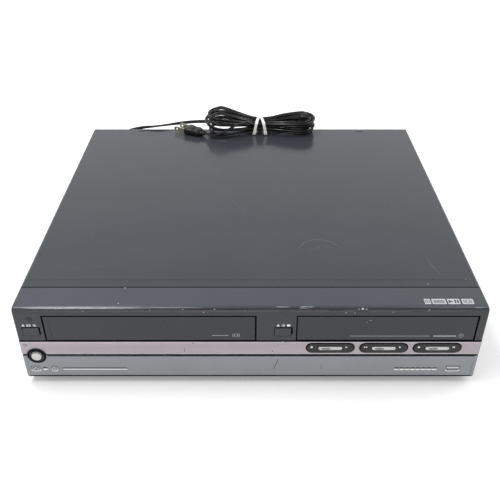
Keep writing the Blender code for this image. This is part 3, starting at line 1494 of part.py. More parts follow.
def heatsink():
    wide, deep = power_board_plan()
    width, depth, height = SINK_SIZE
    left = wide[0] + CORE_FROM_BOARD_EDGE + CORE_SIZE[0] + SINK_FROM_CORE
    y = middle(deep)
    foot = BOARD_RISE + BOARD + TOUCH
    block = (left, left + width), around(y, depth), (foot, foot + height)
    obj = solid("heatsink", box(*block), "aluminium")
    pitch = width / SINK_FINS
    deep = (block[1][0] + SINK_BASE, block[1][1] + OVERRUN)
    tall = (foot - OVERRUN, foot + height + OVERRUN)
    middles = [left + pitch * (i + SINK_FIN_SHARE) for i in range(SINK_FINS)]
    return shape(obj, boxes([(around(x, pitch * SINK_FIN_SHARE), deep, tall) for x in middles]))


def coax_places():
    x = TUNER_LEFT + TUNER_SIZE[0] / 2
    z = TUNER_RISE + TUNER_SIZE[2] / 2
    return [(x + side * COAX_PITCH / 2, z) for side in (-1, 1)]


def tuner_box():
    width, depth, height = TUNER_SIZE
    face = REAR_INSIDE - TOUCH
    block = (TUNER_LEFT, TUNER_LEFT + width), (face - depth, face), (TUNER_RISE, TUNER_RISE + height)
    obj = solid("tuner_box", box(*block), "zinc_steel")
    ends = [((x, face - OVERRUN, z), (x, REAR_FACE + COAX_REACH, z)) for x, z in coax_places()]
    shape(obj, rods(ends, COAX_RADIUS, 16), "UNION")
    tips = []
    for x, z in coax_places():
        tip = REAR_FACE + COAX_REACH
        tips.append(((x, tip - JACK_BORE_DEPTH, z), (x, tip + OVERRUN, z)))
    return shape(obj, rods(tips, JACK_BORE, 8))


def rear_jack_places():
    x = REAR_BLOCK_LEFT + REAR_BLOCK_LENGTH / 2
    z = REAR_BLOCK_RISE + REAR_BLOCK_HEIGHT / 2
    places = []
    for row in range(REAR_JACK_ROWS):
        for column in range(REAR_JACK_COLUMNS):
            across = JACK_PITCH * (column - (REAR_JACK_COLUMNS - 1) / 2)
            up = REAR_JACK_ROW_PITCH * (row - (REAR_JACK_ROWS - 1) / 2)
            places.append((x + across, z + up))
    return places


def rear_jack_block():
    face = REAR_INSIDE - TOUCH
    wide = (REAR_BLOCK_LEFT, REAR_BLOCK_LEFT + REAR_BLOCK_LENGTH)
    tall = (REAR_BLOCK_RISE, REAR_BLOCK_RISE + REAR_BLOCK_HEIGHT)
    obj = solid("rear_jack_block", box(wide, (face - REAR_BLOCK_DEPTH, face), tall), "moulding_black")
    return add_jacks(obj, rear_jack_places(), face, 1, REAR_FACE - face + JACK_REACH)


def port_places():
    z = PORT_BLOCK_RISE + PORT_BLOCK_HEIGHT / 2
    x = PORT_BLOCK_LEFT + PORT_BLOCK_LENGTH / 2
    return (x - OPTICAL_FROM_PORT / 2, z), (x + OPTICAL_FROM_PORT / 2, z)


def rear_port_block():
    """The digital sockets: a flat one with its mouth, and a square optical one behind its shutter."""
    face = REAR_INSIDE - TOUCH
    wide = (PORT_BLOCK_LEFT, PORT_BLOCK_LEFT + PORT_BLOCK_LENGTH)
    tall = (PORT_BLOCK_RISE, PORT_BLOCK_RISE + PORT_BLOCK_HEIGHT)
    obj = solid("rear_port_block", box(wide, (face - REAR_BLOCK_DEPTH, face), tall), "moulding_black")
    port, optical = port_places()
    out = REAR_FACE + PORT_REACH
    nose = around(port[0], PORT_WIDTH + 2 * PORT_WALL), around(port[1], PORT_HEIGHT + 2 * PORT_WALL)
    square = around(optical[0], OPTICAL_SIDE), around(optical[1], OPTICAL_SIDE)
    spans = [(across, (face - OVERRUN, out), up) for across, up in (nose, square)]
    shape(obj, boxes(spans), "UNION")
    mouth = around(port[0], PORT_WIDTH), (out - PORT_DEPTH, out + OVERRUN), around(port[1], PORT_MOUTH)
    return shape(obj, box(*mouth))


def fan_spans():
    x, z = fan_centre()
    back = REAR_INSIDE - TOUCH
    return around(x, FAN_SIDE), (back - FAN_DEPTH, back), around(z, FAN_SIDE)


def fan_frame():
    """A square frame round a bore, with struts at its back that hold the motor."""
    wide, deep, tall = fan_spans()
    obj = solid("fan_frame", box(wide, deep, tall), "moulding_black")
    x, z = fan_centre()
    shape(obj, rod((x, deep[0] - OVERRUN, z), (x, deep[1] + OVERRUN, z), FAN_BORE, 32))
    back = (deep[1] - FAN_STRUT_DEPTH, deep[1])
    for i in range(FAN_STRUTS // 2):
        turn = Matrix.Rotation(math.pi * (2 * i + 1) / FAN_STRUTS, 4, "Y")
        half = FAN_BORE + OVERRUN / 2
        bar = box((-half, half), back, (-FAN_STRUT_WIDTH / 2, FAN_STRUT_WIDTH / 2))
        bmesh.ops.transform(bar, matrix=Matrix.Translation((x, 0, z)) @ turn, verts=bar.verts)
        shape(obj, bar, "UNION")
    return shape(obj, rod((x, back[0], z), (x, back[1], z), FAN_HOLDER, 20), "UNION")


def fan_rotor():
    """A hub with pitched blades."""
    x, z = fan_centre()
    _, deep, _ = fan_spans()
    front = deep[0] + FAN_ROTOR_INSET
    back = deep[1] - FAN_STRUT_DEPTH - TOUCH
    at = (x, middle((front, back)), z)
    obj = solid("fan_rotor", rod((x, front, z), (x, back, z), FAN_HUB, 20), "moulding_black", at)
    tip = FAN_BORE - FAN_BLADE_TIP_GAP
    root = FAN_HUB - OVERRUN / 2
    blades = bmesh.new()
    for i in range(FAN_BLADES):
        blade = Matrix.Rotation(math.tau * i / FAN_BLADES, 4, "Y")
        blade = Matrix.Translation(at) @ blade @ Matrix.Translation((middle((root, tip)), 0, 0))
        pitch = Matrix.Rotation(FAN_BLADE_PITCH, 4, "X")
        size = Matrix.Diagonal((tip - root, FAN_BLADE_THICKNESS, FAN_BLADE_CHORD, 1))
        bmesh.ops.create_cube(blades, size=1, matrix=blade @ pitch @ size)
    return shape(obj, blades, "UNION")


def cord_gland():
    """The tapered boot that the lead leaves the back by, held in the panel by its flange."""
    out = GLAND_FLANGE_THICKNESS
    profile = [
        (0, -SHEET - out),
        (GLAND_NECK, -SHEET - out),
        (GLAND_NECK, TOUCH),
        (GLAND_FLANGE, TOUCH),
        (GLAND_FLANGE, TOUCH + out),
        (GLAND_NECK, TOUCH + out),
        (GLAND_TIP, GLAND_LENGTH),
        (0, GLAND_LENGTH),
    ]
    bm = turned(profile, (GLAND_X, REAR_FACE, GLAND_RISE), (0, 1, 0), 16)
    return solid("cord_gland", bm, "cord_black")


def hank_axes():
    """The hank's own directions: along its runs, across them, and through its layers."""
    tilt = HANK_TILT
    across = Vector((0, math.cos(tilt), math.sin(tilt)))
    through = Vector((0, -math.sin(tilt), math.cos(tilt)))
    return Vector((1, 0, 0)), across, through


def waist(along):
    """How far a run is drawn in, and raised so that the tie fits under it, at a share of its half."""
    share = math.cos(math.pi / 2 * along) ** 2
    return HANK_WAIST * share, (TIE_FIT + TIE_THICKNESS) * share


def hank_step(step):
    """One point of the hank in its own directions: (along, across, through). Each layer winds in or
    out, then climbs to the next. Its left fold is the looser one: it swells, and its layers lift."""
    half_steps = RUN_STEPS + CAP_STEPS
    turn = step / (2 * half_steps)
    layer = min(int(turn / LAYER_TURNS), HANK_LAYERS - 1)
    into = turn - LAYER_TURNS * layer
    wound = min(into, 1) if layer < HANK_LAYERS - 1 else into
    drawn = wound if layer % 2 == 0 else 1 - wound
    climb = min(max((into - 1) * 2, 0), 1) if layer < HANK_LAYERS - 1 else 0
    side = 1 if (step // half_steps) % 2 == 0 else -1
    place = step % half_steps
    along = side * min(2 * place / RUN_STEPS - 1, 1)
    loose = min(along, 0) ** 2
    radius = HANK_FOLD - HANK_SPIRAL * drawn + HANK_SWELL * loose
    through = HANK_LAYER * (layer + climb * climb * (3 - 2 * climb)) * (1 + HANK_LIFT_SHARE * loose)
    if place < RUN_STEPS:
        drawn_in, raised = waist(along)
        return HANK_HALF_RUN * along, side * (radius - drawn_in), through + raised
    angle = math.pi * (place - RUN_STEPS) / CAP_STEPS
    return side * (HANK_HALF_RUN + radius * math.sin(angle)), side * radius * math.cos(angle), through


def hank_points():
    """The hank's centreline in the player's frame, resting on the cover. It starts at a fold, with a
    straight end, and stops where the level stretch under the tie does."""
    half_steps = RUN_STEPS + CAP_STEPS
    past_tie = RUN_STEPS // 2 + 1
    steps = 2 * half_steps * HANK_LAYERS + half_steps * (HANK_LAYERS - 1) + past_tie
    local = [hank_step(step) for step in range(steps + 1)]
    straight = 2 * CORD_RADIUS
    local.insert(0, (local[0][0] - straight, *local[0][1:]))
    axes = hank_axes()
    points = [sum((axis * size for axis, size in zip(axes, point)), Vector()) for point in local]
    lowest = min(point.z for point in points)
    rest = BODY_HEIGHT + TOUCH + CORD_RADIUS
    shift = Vector((HANK_CENTRE_X, HANK_CENTRE_Y, rest - lowest))
    return [point + shift for point in points]


def least_gap(points):
    """The least gap between stretches of the cord that lie further apart along it than a fold."""
    fine = []
    for start, end in zip(points, points[1:]):
        fine += [start.lerp(end, i / 4) for i in range(4)]
    fine = np.array([tuple(point) for point in fine])
    run = np.concatenate([[0], np.cumsum(np.linalg.norm(np.diff(fine, axis=0), axis=1))])
    apart = np.linalg.norm(fine[:, None] - fine[None], axis=2)
    far = np.abs(run[:, None] - run[None]) > HANK_FOLD * 2
    return apart[far].min() - 2 * CORD_RADIUS


def cord_tube(name, points, bevel_resolution):
    curve = bpy.data.curves.new(name, "CURVE")
    curve.dimensions = "3D"
    curve.bevel_depth = CORD_RADIUS
    curve.bevel_resolution = bevel_resolution
    curve.use_fill_caps = True
    spline = curve.splines.new("POLY")
    spline.points.add(len(points) - 1)
    for knot, point in zip(spline.points, points):
        knot.co = (*point, 1)
    curve.materials.append(make_material("cord_black"))
    obj = bpy.data.objects.new(name, curve)
    bpy.context.collection.objects.link(obj)
    obj.parent = bpy.data.objects["player"]
    return obj


def cord_hank():
    points = hank_points()
    print(f"least gap of the hank to itself: {least_gap(points) * 1000:.2f} mm")
    return cord_tube("cord_hank", points, 1)


def smooth_route(points, count):
    """Evenly spaced points along a smooth curve through the given ones."""
    points = [Vector(point) for point in points]
    padded = [2 * points[0] - points[1], *points, 2 * points[-1] - points[-2]]
    fine = []
    for a, b, c, d in zip(padded, padded[1:], padded[2:], padded[3:]):
        for i in range(24):
            t = i / 24
            bend = (2 * a - 5 * b + 4 * c - d) * t * t + (3 * b - a - 3 * c + d) * t**3
            fine.append((2 * b + (c - a) * t + bend) / 2)
    fine.append(points[-1])
    run = np.concatenate([[0], np.cumsum([(q - p).length for p, q in zip(fine, fine[1:])])])
    spaced = np.linspace(0, run[-1], count)
    table = np.array([tuple(point) for point in fine])
    return [Vector([np.interp(s, run, table[:, k]) for k in range(3)]) for s in spaced]


def lead_route():
    """Out of the gland, up behind the back, over its top edge and along it to the hank."""
    start = Vector((GLAND_X, REAR_FACE + GLAND_LENGTH + TOUCH, GLAND_RISE))
    end = hank_points()[0] - Vector((TOUCH, 0, 0))
    chosen = [
        (-0.1720, 0.4250, 0.0275),
        (-0.1725, 0.4370, 0.0360),
        (-0.1730, 0.4405, 0.0490),
        (-0.1735, 0.4350, 0.0620),
        (-0.1720, 0.4230, 0.0730),
        (-0.1675, 0.4080, 0.0810),
        (-0.1590, 0.3955, 0.0848),
        (-0.1460, 0.3890, 0.0857),
        (-0.1300, 0.3895, 0.0860),
        (-0.1140, 0.3935, 0.0864),
        (-0.0970, 0.3985, 0.0868),
        (-0.0780, 0.4025, 0.0870),
        (-0.0600, 0.4040, 0.0868),
    ]
    near_start = start + Vector((0, 2 * CORD_RADIUS, 0))
    near_end = end - Vector((2 * CORD_RADIUS, 0, 0))
    return [start, near_start, *chosen, near_end, end]


def cord_lead():
    return cord_tube("cord_lead", smooth_route(lead_route(), LEAD_POINTS), 2)


def plug_start():
    """The point where the tail enters the plug."""
    return Vector((*PLUG_START, BODY_HEIGHT + TOUCH + PLUG_THICKNESS / 2))


def plug_axis():
    return Vector((math.cos(PLUG_HEADING), math.sin(PLUG_HEADING), 0))


def tail_route():
    """Out of the bundle past the tie, over its front and down to the plug on the cover."""
    start = hank_points()[-1] - Vector((TOUCH, 0, 0))
    end = plug_start() - plug_axis() * TOUCH
    near_end = end - plug_axis() * 2 * CORD_RADIUS
    chosen = [
        (-0.0030, 0.3675, 0.1012),
        (-0.0090, 0.3651, 0.1012),
        (-0.0170, 0.3605, 0.1008),
        (-0.0260, 0.3558, 0.0980),
        (-0.0350, 0.3537, 0.0930),
        (-0.0440, 0.3543, 0.0892),
        (-0.0520, 0.3568, 0.0879),
    ]
    return [start, start - Vector((CORD_RADIUS, 0, 0)), *chosen, near_end, end]


def cord_tail():
    return cord_tube("cord_tail", smooth_route(tail_route(), TAIL_POINTS), 2)


def cord_tie():
    """A band round the waist of the hank, over the level stretch in the middle of its runs."""
    _, across, through = hank_axes()
    drawn_in, raised = waist(1 / RUN_STEPS)
    base = hank_points()[1] - across * (HANK_FOLD + HANK_SWELL) + through * raised
    last_run = HANK_SPIRAL * RUN_STEPS / (2 * (RUN_STEPS + CAP_STEPS))
    half = HANK_FOLD - drawn_in + last_run + CORD_RADIUS + TIE_FIT
    low = -CORD_RADIUS - TIE_FIT
    high = HANK_LAYER * (HANK_LAYERS - 1) + CORD_RADIUS + TIE_FIT
    wall = TIE_THICKNESS
    outer = band_outline(half + wall, low - wall, high + wall, CORD_RADIUS)
    inner = band_outline(half, low, high, CORD_RADIUS - wall / 2)
    bm = bmesh.new()
    rings = []
    for outline in (outer, inner):
        for x in around(HANK_CENTRE_X + TIE_AT, TIE_WIDTH):
            places = [base + across * v + through * n for v, n in outline]
            rings.append([bm.verts.new((x, *place.yz)) for place in places])
    for first, second in ((0, 1), (1, 3), (3, 2), (2, 0)):
        bridge(bm, rings[first], rings[second])
    return solid("cord_tie", bm, "tie_white")


def bridge(bm, ring, other):
    """Joins two rings of as many points with a band of faces."""
    for i in range(len(ring)):
        j = (i + 1) % len(ring)
        bm.faces.new((ring[i], ring[j], other[j], other[i]))


def band_outline(half, low, high, corner):
    steps = 3
    points = arc((half - corner, high - corner), corner, 0, 1, steps)
    points += arc((-half + corner, high - corner), corner, 1, 2, steps)
    points += arc((-half + corner, low + corner), corner, 2, 3, steps)
    return points + arc((half - corner, low + corner), corner, 3, 4, steps)


def plug_matrix():
    return Matrix.Translation(plug_start()) @ Matrix.Rotation(PLUG_HEADING - math.pi / 2, 4, "Z")


def plug_body():
    """A moulded two-pin plug: a relief that widens into the grip, lying flat on the cover."""
    stations = [
        (0, CORD_RADIUS * PLUG_NECK_SHARE, CORD_RADIUS * PLUG_NECK_SHARE),
        (PLUG_RELIEF, PLUG_WIDTH / 2 * PLUG_SHOULDER_SHARE, PLUG_THICKNESS / 2),
        (PLUG_RELIEF + PLUG_LENGTH / 2, PLUG_WIDTH / 2, PLUG_THICKNESS / 2),
        (PLUG_RELIEF + PLUG_LENGTH, PLUG_WIDTH / 2, PLUG_THICKNESS / 2),
    ]
    bm = bmesh.new()
    rings = []
    for y, half, rise in stations:
        corner = min(PLUG_CORNER, rise - TOUCH)
        outline = band_outline(half, -rise, rise, corner)
        rings.append([bm.verts.new((x, y, z)) for x, z in outline])
    for ring, other in zip(rings, rings[1:]):
        bridge(bm, ring, other)
    bm.faces.new(rings[0])
    bm.faces.new(rings[-1])
    bmesh.ops.transform(bm, matrix=plug_matrix(), verts=bm.verts)
    return solid("plug_body", bm, "cord_black")


def plug_blade(side, name):
    start = PLUG_RELIEF + PLUG_LENGTH + TOUCH
    x = side * BLADE_SPREAD
    wide = around(x, BLADE_THICKNESS)
    bm = box(wide, (start, start + BLADE_LENGTH), around(0, BLADE_WIDTH))
    bmesh.ops.transform(bm, matrix=plug_matrix(), verts=bm.verts)
    return solid(name, bm, "blade_nickel")


def build():
    clear_scene()
    player_frame()
    chassis_base()
    rear_panel()
    top_cover()
    fascia()
    trim_strip()
    flap()
    cassette_door()
    power_ring()
    power_button()
    for side in EJECT_XS:
        eject_key(side)
    for side in ROCKER_XS:
        rocker_key(side)
        select_key(side)
    key_bracket()
    front_jack_block()
    for side in bay_key_xs():
        channel_key(side)
    front_board()
    deck_chassis()
    carry(cassette_holder(), carriage_slider())
    drum_lower()
    drum_upper()
    reel("reel_supply", -1)
    reel("reel_takeup", 1)
    capstan()
    drive_chassis()
    carry(tray_lid(), disc_tray())
    traverse()
    optical_pickup()
    disc_spindle()
    clamp_bridge()
    disc_clamp()
    main_board()
    power_board()
    transformer()
    heatsink()
    tuner_box()
    rear_jack_block()
    rear_port_block()
    fan_frame()
    fan_rotor()
    for corner in foot_places():
        foot(corner)
    cord_gland()
    cord_lead()
    cord_hank()
    cord_tie()
    cord_tail()
    plug_body()
    plug_blade(-1, "plug_blade_left")
    plug_blade(1, "plug_blade_right")


build()
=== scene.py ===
# The look of the combined disc and cassette player: its finishes, its prints and screws, its flat twin
# mains lead, and the sweep of paper that it stands on. Sizes are in millimetres from the middle of the
# foot of the front: x to the right, y back from the face of the front, z up. place() turns them into
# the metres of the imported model.

import math
import random

import bmesh
import bpy
import numpy as np
from mathutils import Matrix, Vector


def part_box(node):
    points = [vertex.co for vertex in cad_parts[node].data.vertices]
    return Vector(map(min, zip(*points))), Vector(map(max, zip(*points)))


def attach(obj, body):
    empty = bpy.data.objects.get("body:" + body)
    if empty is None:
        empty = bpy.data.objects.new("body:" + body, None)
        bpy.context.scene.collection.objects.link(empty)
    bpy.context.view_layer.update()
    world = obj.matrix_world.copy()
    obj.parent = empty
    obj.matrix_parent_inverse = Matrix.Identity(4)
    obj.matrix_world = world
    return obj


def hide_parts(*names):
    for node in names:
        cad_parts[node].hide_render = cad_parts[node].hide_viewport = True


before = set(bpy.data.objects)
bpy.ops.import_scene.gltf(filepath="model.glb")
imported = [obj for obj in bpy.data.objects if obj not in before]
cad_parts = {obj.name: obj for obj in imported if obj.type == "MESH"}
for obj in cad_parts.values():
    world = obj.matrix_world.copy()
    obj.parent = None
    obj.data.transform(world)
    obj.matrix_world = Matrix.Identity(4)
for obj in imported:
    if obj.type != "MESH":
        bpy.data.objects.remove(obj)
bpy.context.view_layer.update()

FRONT_FACE = -0.19575
STANDS_ON = 0.009
TOP = 83.0
REAR = 383.0
HALF = 214.3
MM_PER_METRE = 1000


def place(x, y, z):
    """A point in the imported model's metres."""
    return Vector((x / MM_PER_METRE, y / MM_PER_METRE + FRONT_FACE, z / MM_PER_METRE + STANDS_ON))


def in_millimetres(point):
    """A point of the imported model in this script's millimetres."""
    x, y, z = point
    return Vector((x * MM_PER_METRE, (y - FRONT_FACE) * MM_PER_METRE, (z - STANDS_ON) * MM_PER_METRE))


def in_metres():
    return Matrix.Translation(place(0, 0, 0)) @ Matrix.Scale(1 / MM_PER_METRE, 4)


# Camera, lamps and the paper sweep

def camera():
    """The photograph's own viewpoint, in front of the player and above it."""
    looks_down = 34.47
    made = bpy.data.objects.new("camera", bpy.data.cameras.new("camera"))
    bpy.context.scene.collection.objects.link(made)
    made.location = place(-0.4, -454.4, 458.7)
    made.rotation_euler = (math.radians(90 - looks_down), 0, 0)
    made.data.lens = 47.43
    made.data.sensor_width = 36
    made.data.clip_start = 0.01
    bpy.context.scene.camera = made


def lamp(name, at, aim, size, watts):
    data = bpy.data.lights.new(name, "AREA")
    data.shape = "RECTANGLE"
    data.size, data.size_y = size
    data.energy = watts
    made = bpy.data.objects.new(name, data)
    bpy.context.scene.collection.objects.link(made)
    made.location = at
    made.rotation_euler = (Vector(aim) - Vector(at)).to_track_quat("-Z", "Y").to_euler()


def studio():
    """Two soft boxes overhead: the long left one gleams along the left end of the front's round edge."""
    lamp("soft_box_left", (-0.52, -0.05, 1.45), (-0.52, -0.04, 0), (0.36, 1.5), 13)
    lamp("soft_box_right", (1.05, 0.15, 1.35), (0.1, -0.05, 0), (0.7, 1.2), 6)
    lamp("fill_from_the_camera", (0.0, -2.6, 0.55), (0, -0.2, 0.04), (2.0, 0.5), 7)
    bpy.context.scene.view_settings.view_transform = "Standard"


def surround():
    """Pale walls round the set. In gloss they are white near the ground and fall off overhead."""
    world = bpy.data.worlds.new("surround")
    bpy.context.scene.world = world
    world.use_nodes = True
    tree = world.node_tree
    ray = add(tree, "LightPath").outputs
    up = add(tree, "SeparateXYZ", Vector=add(tree, "TexCoord").outputs["Generated"]).outputs["Z"]
    wall = add(tree, "MapRange", Value=up, From_Min=0.42, From_Max=0.82, To_Min=1.0, To_Max=0.28)
    gloss = add(tree, "Mix", _0=ray["Is Glossy Ray"], _2=0.72, _3=wall.outputs["Result"]).outputs[0]
    seen = add(tree, "Math", {"operation": "MAXIMUM"}, _0=ray["Is Camera Ray"],
               _1=ray["Is Transmission Ray"])
    strength = add(tree, "Mix", _0=seen.outputs[0], _2=gloss, _3=1.0).outputs[0]
    background = tree.nodes["Background"]
    background.inputs["Color"].default_value = (1, 1, 1, 1)
    tree.links.new(strength, background.inputs["Strength"])


# Shading

def linear(code):
    """An sRGB hex colour as linear light."""
    parts = [int(code[i:i + 2], 16) / 255 for i in (1, 3, 5)]
    return tuple(c / 12.92 if c <= 0.04045 else ((c + 0.055) / 1.055) ** 2.4 for c in parts) + (1,)


def add(tree, kind, settings=None, **links):
    """Adds a node with its settings. A link is given by the input's name, as a socket or a value."""
    made = tree.nodes.new("ShaderNode" + kind)
    for name, value in (settings or {}).items():
        setattr(made, name, value)
    for name, value in links.items():
        entry = made.inputs[int(name[1:])] if name[0] == "_" else made.inputs[name.replace("_", " ")]
        if isinstance(value, bpy.types.NodeSocket):
            tree.links.new(value, entry)
        else:
            entry.default_value = value
    return made


def per_mm(size):
    """The scale at which a pattern repeats every so many millimetres."""
    return MM_PER_METRE / size


def new_material(name):
    made = bpy.data.materials.new(name)
    made.use_nodes = True
    tree = made.node_tree
    return made, tree, tree.nodes["Principled BSDF"], add(tree, "TexCoord").outputs["Object"]


TINT = {"data_type": "RGBA", "blend_type": "MULTIPLY"}
BLEND = {"data_type": "RGBA"}
NOISE_LOW, NOISE_HIGH = 0.3, 0.7
SPECK = 1.6
# The grey-blue that tops are lightened towards, for dust and painted sheen
PALE_DUST = "#c9c7c2"
SHEEN_AND_DUST_GREY = "#8a909e"


def mottled(tree, cloud, colour, share):
    """The colour, a little lighter and darker in soft patches."""
    tone = add(tree, "MapRange", Value=cloud, From_Min=NOISE_LOW, From_Max=NOISE_HIGH,
               To_Min=1 - share, To_Max=1 + share).outputs["Result"]
    return add(tree, "Mix", TINT, _0=1.0, _6=linear(colour), _7=tone).outputs[2]


def spangled(tree, at, shade, size, share):
    """Zinc crystals, each a little lighter or darker than the next."""
    cell = add(tree, "TexVoronoi", Vector=at, Scale=per_mm(size)).outputs["Color"]
    level = add(tree, "SeparateColor", Color=cell).outputs[0]
    glint = add(tree, "MapRange", Value=level, To_Min=1 - share, To_Max=1 + share).outputs["Result"]
    return add(tree, "Mix", TINT, _0=1.0, _6=shade, _7=glint).outputs[2]


def tracked(tree, at, shade, length, colour):
    """Copper tracks under a board's mask, drawn as the joints between long thin bricks."""
    joints = add(tree, "TexBrick", {"offset": 0.37, "squash": 0.6, "squash_frequency": 3}, Vector=at,
                 Scale=per_mm(1.0), Mortar_Size=0.22, Mortar_Smooth=0.2, Brick_Width=length,
                 Row_Height=1.3).outputs["Fac"]
    return add(tree, "Mix", BLEND, _0=joints, _6=shade, _7=linear(colour)).outputs[2]


def dusty(tree, at, shade, dust):
    """Pale specks of dust, drawn coarser than real dust so that they show."""
    specks = add(tree, "TexNoise", Vector=at, Scale=per_mm(SPECK), Detail=3.0).outputs["Fac"]
    share = add(tree, "MapRange", Value=specks, From_Min=0.62, From_Max=0.75, To_Min=0.0,
                To_Max=dust).outputs["Result"]
    return add(tree, "Mix", BLEND, _0=share, _6=shade, _7=linear(PALE_DUST)).outputs[2]


def veiled(tree, shade, film):
    """Lightens whatever faces up towards a pale grey-blue: a thin veil of dust, with the painted sheen of a
    lit top.
    """
    up = add(tree, "SeparateXYZ", Vector=add(tree, "NewGeometry").outputs["Normal"]).outputs["Z"]
    veil = add(tree, "MapRange", Value=up, From_Min=0.75, From_Max=1.0, To_Min=0.0,
               To_Max=film).outputs["Result"]
    return add(tree, "Mix", BLEND, _0=veil, _6=shade, _7=linear(SHEEN_AND_DUST_GREY)).outputs[2]


def surface(name, colour, rough, metal=0.0, tooth=(0.5, 0.02), patch=(30, 0.10), grey=0.05, dust=0.0,
            film=0.0, index=1.5, crystals=None, tracks=None):
    """A plain finish. tooth is the size and depth of its grain, patch the size and share of its uneven
    tone, grey how far its gloss wanders, dust how much pale dust specks it, and film how far whatever
    faces up is lightened, with dust and with painted sheen. index is the index of refraction. crystals is
    the size and share of a spangle, and tracks the length and colour of a board's copper tracks."""
    made, tree, shader, at = new_material(name)
    shader.inputs["Metallic"].default_value = metal
    shader.inputs["IOR"].default_value = index
    cloud = add(tree, "TexNoise", Vector=at, Scale=per_mm(patch[0]), Detail=4.0).outputs["Fac"]
    shade = mottled(tree, cloud, colour, patch[1])
    if crystals:
        shade = spangled(tree, at, shade, *crystals)
    if tracks:
        shade = tracked(tree, at, shade, *tracks)
    if dust:
        shade = dusty(tree, at, shade, dust)
    if film:
        shade = veiled(tree, shade, film)
    gloss = add(tree, "MapRange", Value=cloud, From_Min=NOISE_LOW, From_Max=NOISE_HIGH,
                To_Min=rough - grey, To_Max=rough + grey).outputs["Result"]
    grain = add(tree, "TexNoise", Vector=at, Scale=per_mm(tooth[0]), Detail=2.0).outputs["Fac"]
    bump = add(tree, "Bump", Height=grain, Distance=tooth[1] / MM_PER_METRE, Strength=1.0)
    tree.links.new(shade, shader.inputs["Base Color"])
    tree.links.new(gloss, shader.inputs["Roughness"])
    tree.links.new(bump.outputs["Normal"], shader.inputs["Normal"])
    return made


def sweep_paper():
    """The paper that the player stands on: white to the camera and in gloss, and it keeps the shadow."""
    made, tree, shader, at = new_material("sweep_paper")
    shader.inputs["Base Color"].default_value = linear("#f6f6f6")
    shader.inputs["Roughness"].default_value = 0.9
    shader.inputs["Emission Color"].default_value = (1, 1, 1, 1)
    seen = add(tree, "LightPath").outputs["Is Camera Ray"]
    away = add(tree, "VectorMath", {"operation": "LENGTH"}, _0=at).outputs["Value"]
    white = add(tree, "MapRange", Value=away, From_Min=0.35, From_Max=0.8, To_Min=0.15, To_Max=0.7)
    glow = add(tree, "Math", {"operation": "MULTIPLY"}, _0=seen, _1=white.outputs["Result"]).outputs[0]
    tree.links.new(glow, shader.inputs["Emission Strength"])
    return made


def floor():
    bm = bmesh.new()
    bmesh.ops.create_grid(bm, x_segments=1, y_segments=1, size=4)
    mesh = bpy.data.meshes.new("floor")
    bm.to_mesh(mesh)
    bm.free()
    made = bpy.data.objects.new("floor", mesh)
    bpy.context.scene.collection.objects.link(made)
    mesh.materials.append(sweep_paper())


# Finishes, by the names of the record's slots and of what only this script adds

FINISHES = {}
SOCKET_COLOURS = {"yellow": "#d9b62a", "white": "#dddcd6", "red": "#b3242c", "black": "#1b1b1c"}
INK_TOOTH = (0.2, 0.004)
INK_PATCH = (4, 0.05)
INKS = {
    "white_print": ("white_screen_print", "#e6e6e4", 0.55),
    "grey_print": ("grey_screen_print", "#9b9da0", 0.55),
    "pale_print": ("pale_screen_print", "#b9bcc1", 0.5),
    "dark_print": ("dark_screen_print", "#34363a", 0.5),
    # Painted shade in the manner of a print: near black where a groove, knock, scratch or edge is to look
    # dark
    "shadow_print": ("shadowed_groove", "#141517", 0.6),
}


def coat(slot, name, colour, rough, metal=0.0, **grain):
    FINISHES[slot] = surface(name, colour, rough, metal, **grain)


def outer_finishes():
    # Pressed steel sheet with a baked paint: a soft orange peel under a satin sheen
    coat("cover_paint", "baked_charcoal_paint", "#36393f", 0.20, tooth=(0.8, 0.010), patch=(60, 0.05),
         grey=0.03, dust=0.02, film=0.02)
    # Moulded ABS with a sprayed metallic charcoal: smoother than the cover, and lightened where it faces up
    # by dust and painted sheen
    coat("fascia_plastic", "sprayed_charcoal_abs", "#2c2e32", 0.24, tooth=(0.3, 0.005), patch=(40, 0.05),
         grey=0.03, dust=0.02, film=0.15)
    # Moulded ABS with a warm silver lacquer: fine flakes that keep an even, soft metal sheen
    coat("strip_silver", "warm_silver_lacquer", "#a89fa5", 0.36, 0.35, tooth=(0.2, 0.006),
         patch=(25, 0.03), grey=0.03, dust=0.01)
    # The same kind of lacquer in a cooler grey: a little darker and less even
    coat("flap_grey", "metallic_grey_lacquer", "#8b8e92", 0.36, 0.35, tooth=(0.2, 0.006),
         patch=(40, 0.04), grey=0.04, dust=0.01)
    # Acrylic with a deep tint, moulded against a polished plate: flat and glossy with faint smears
    coat("door_black", "tinted_acrylic", "#25272a", 0.20, tooth=(2.0, 0.004), patch=(50, 0.05),
         grey=0.04, dust=0.02)
    # ABS moulded in black with a fine tooth: near black with a soft highlight
    coat("key_black", "black_key_abs", "#0c0c0d", 0.34, tooth=(0.3, 0.01), patch=(20, 0.08), dust=0.02)
    # ABS with a thin satin plating: a bright cap that mirrors only broad shapes
    coat("button_silver", "plated_cap", "#c4c2c2", 0.28, 0.6, tooth=(0.3, 0.004), patch=(12, 0.04))
    # Moulded rubber: dull, with dust in its tooth
    coat("foot_rubber", "foot_rubber", "#1b1b1c", 0.78, tooth=(0.5, 0.04), patch=(10, 0.15), grey=0.08,
         dust=0.06)


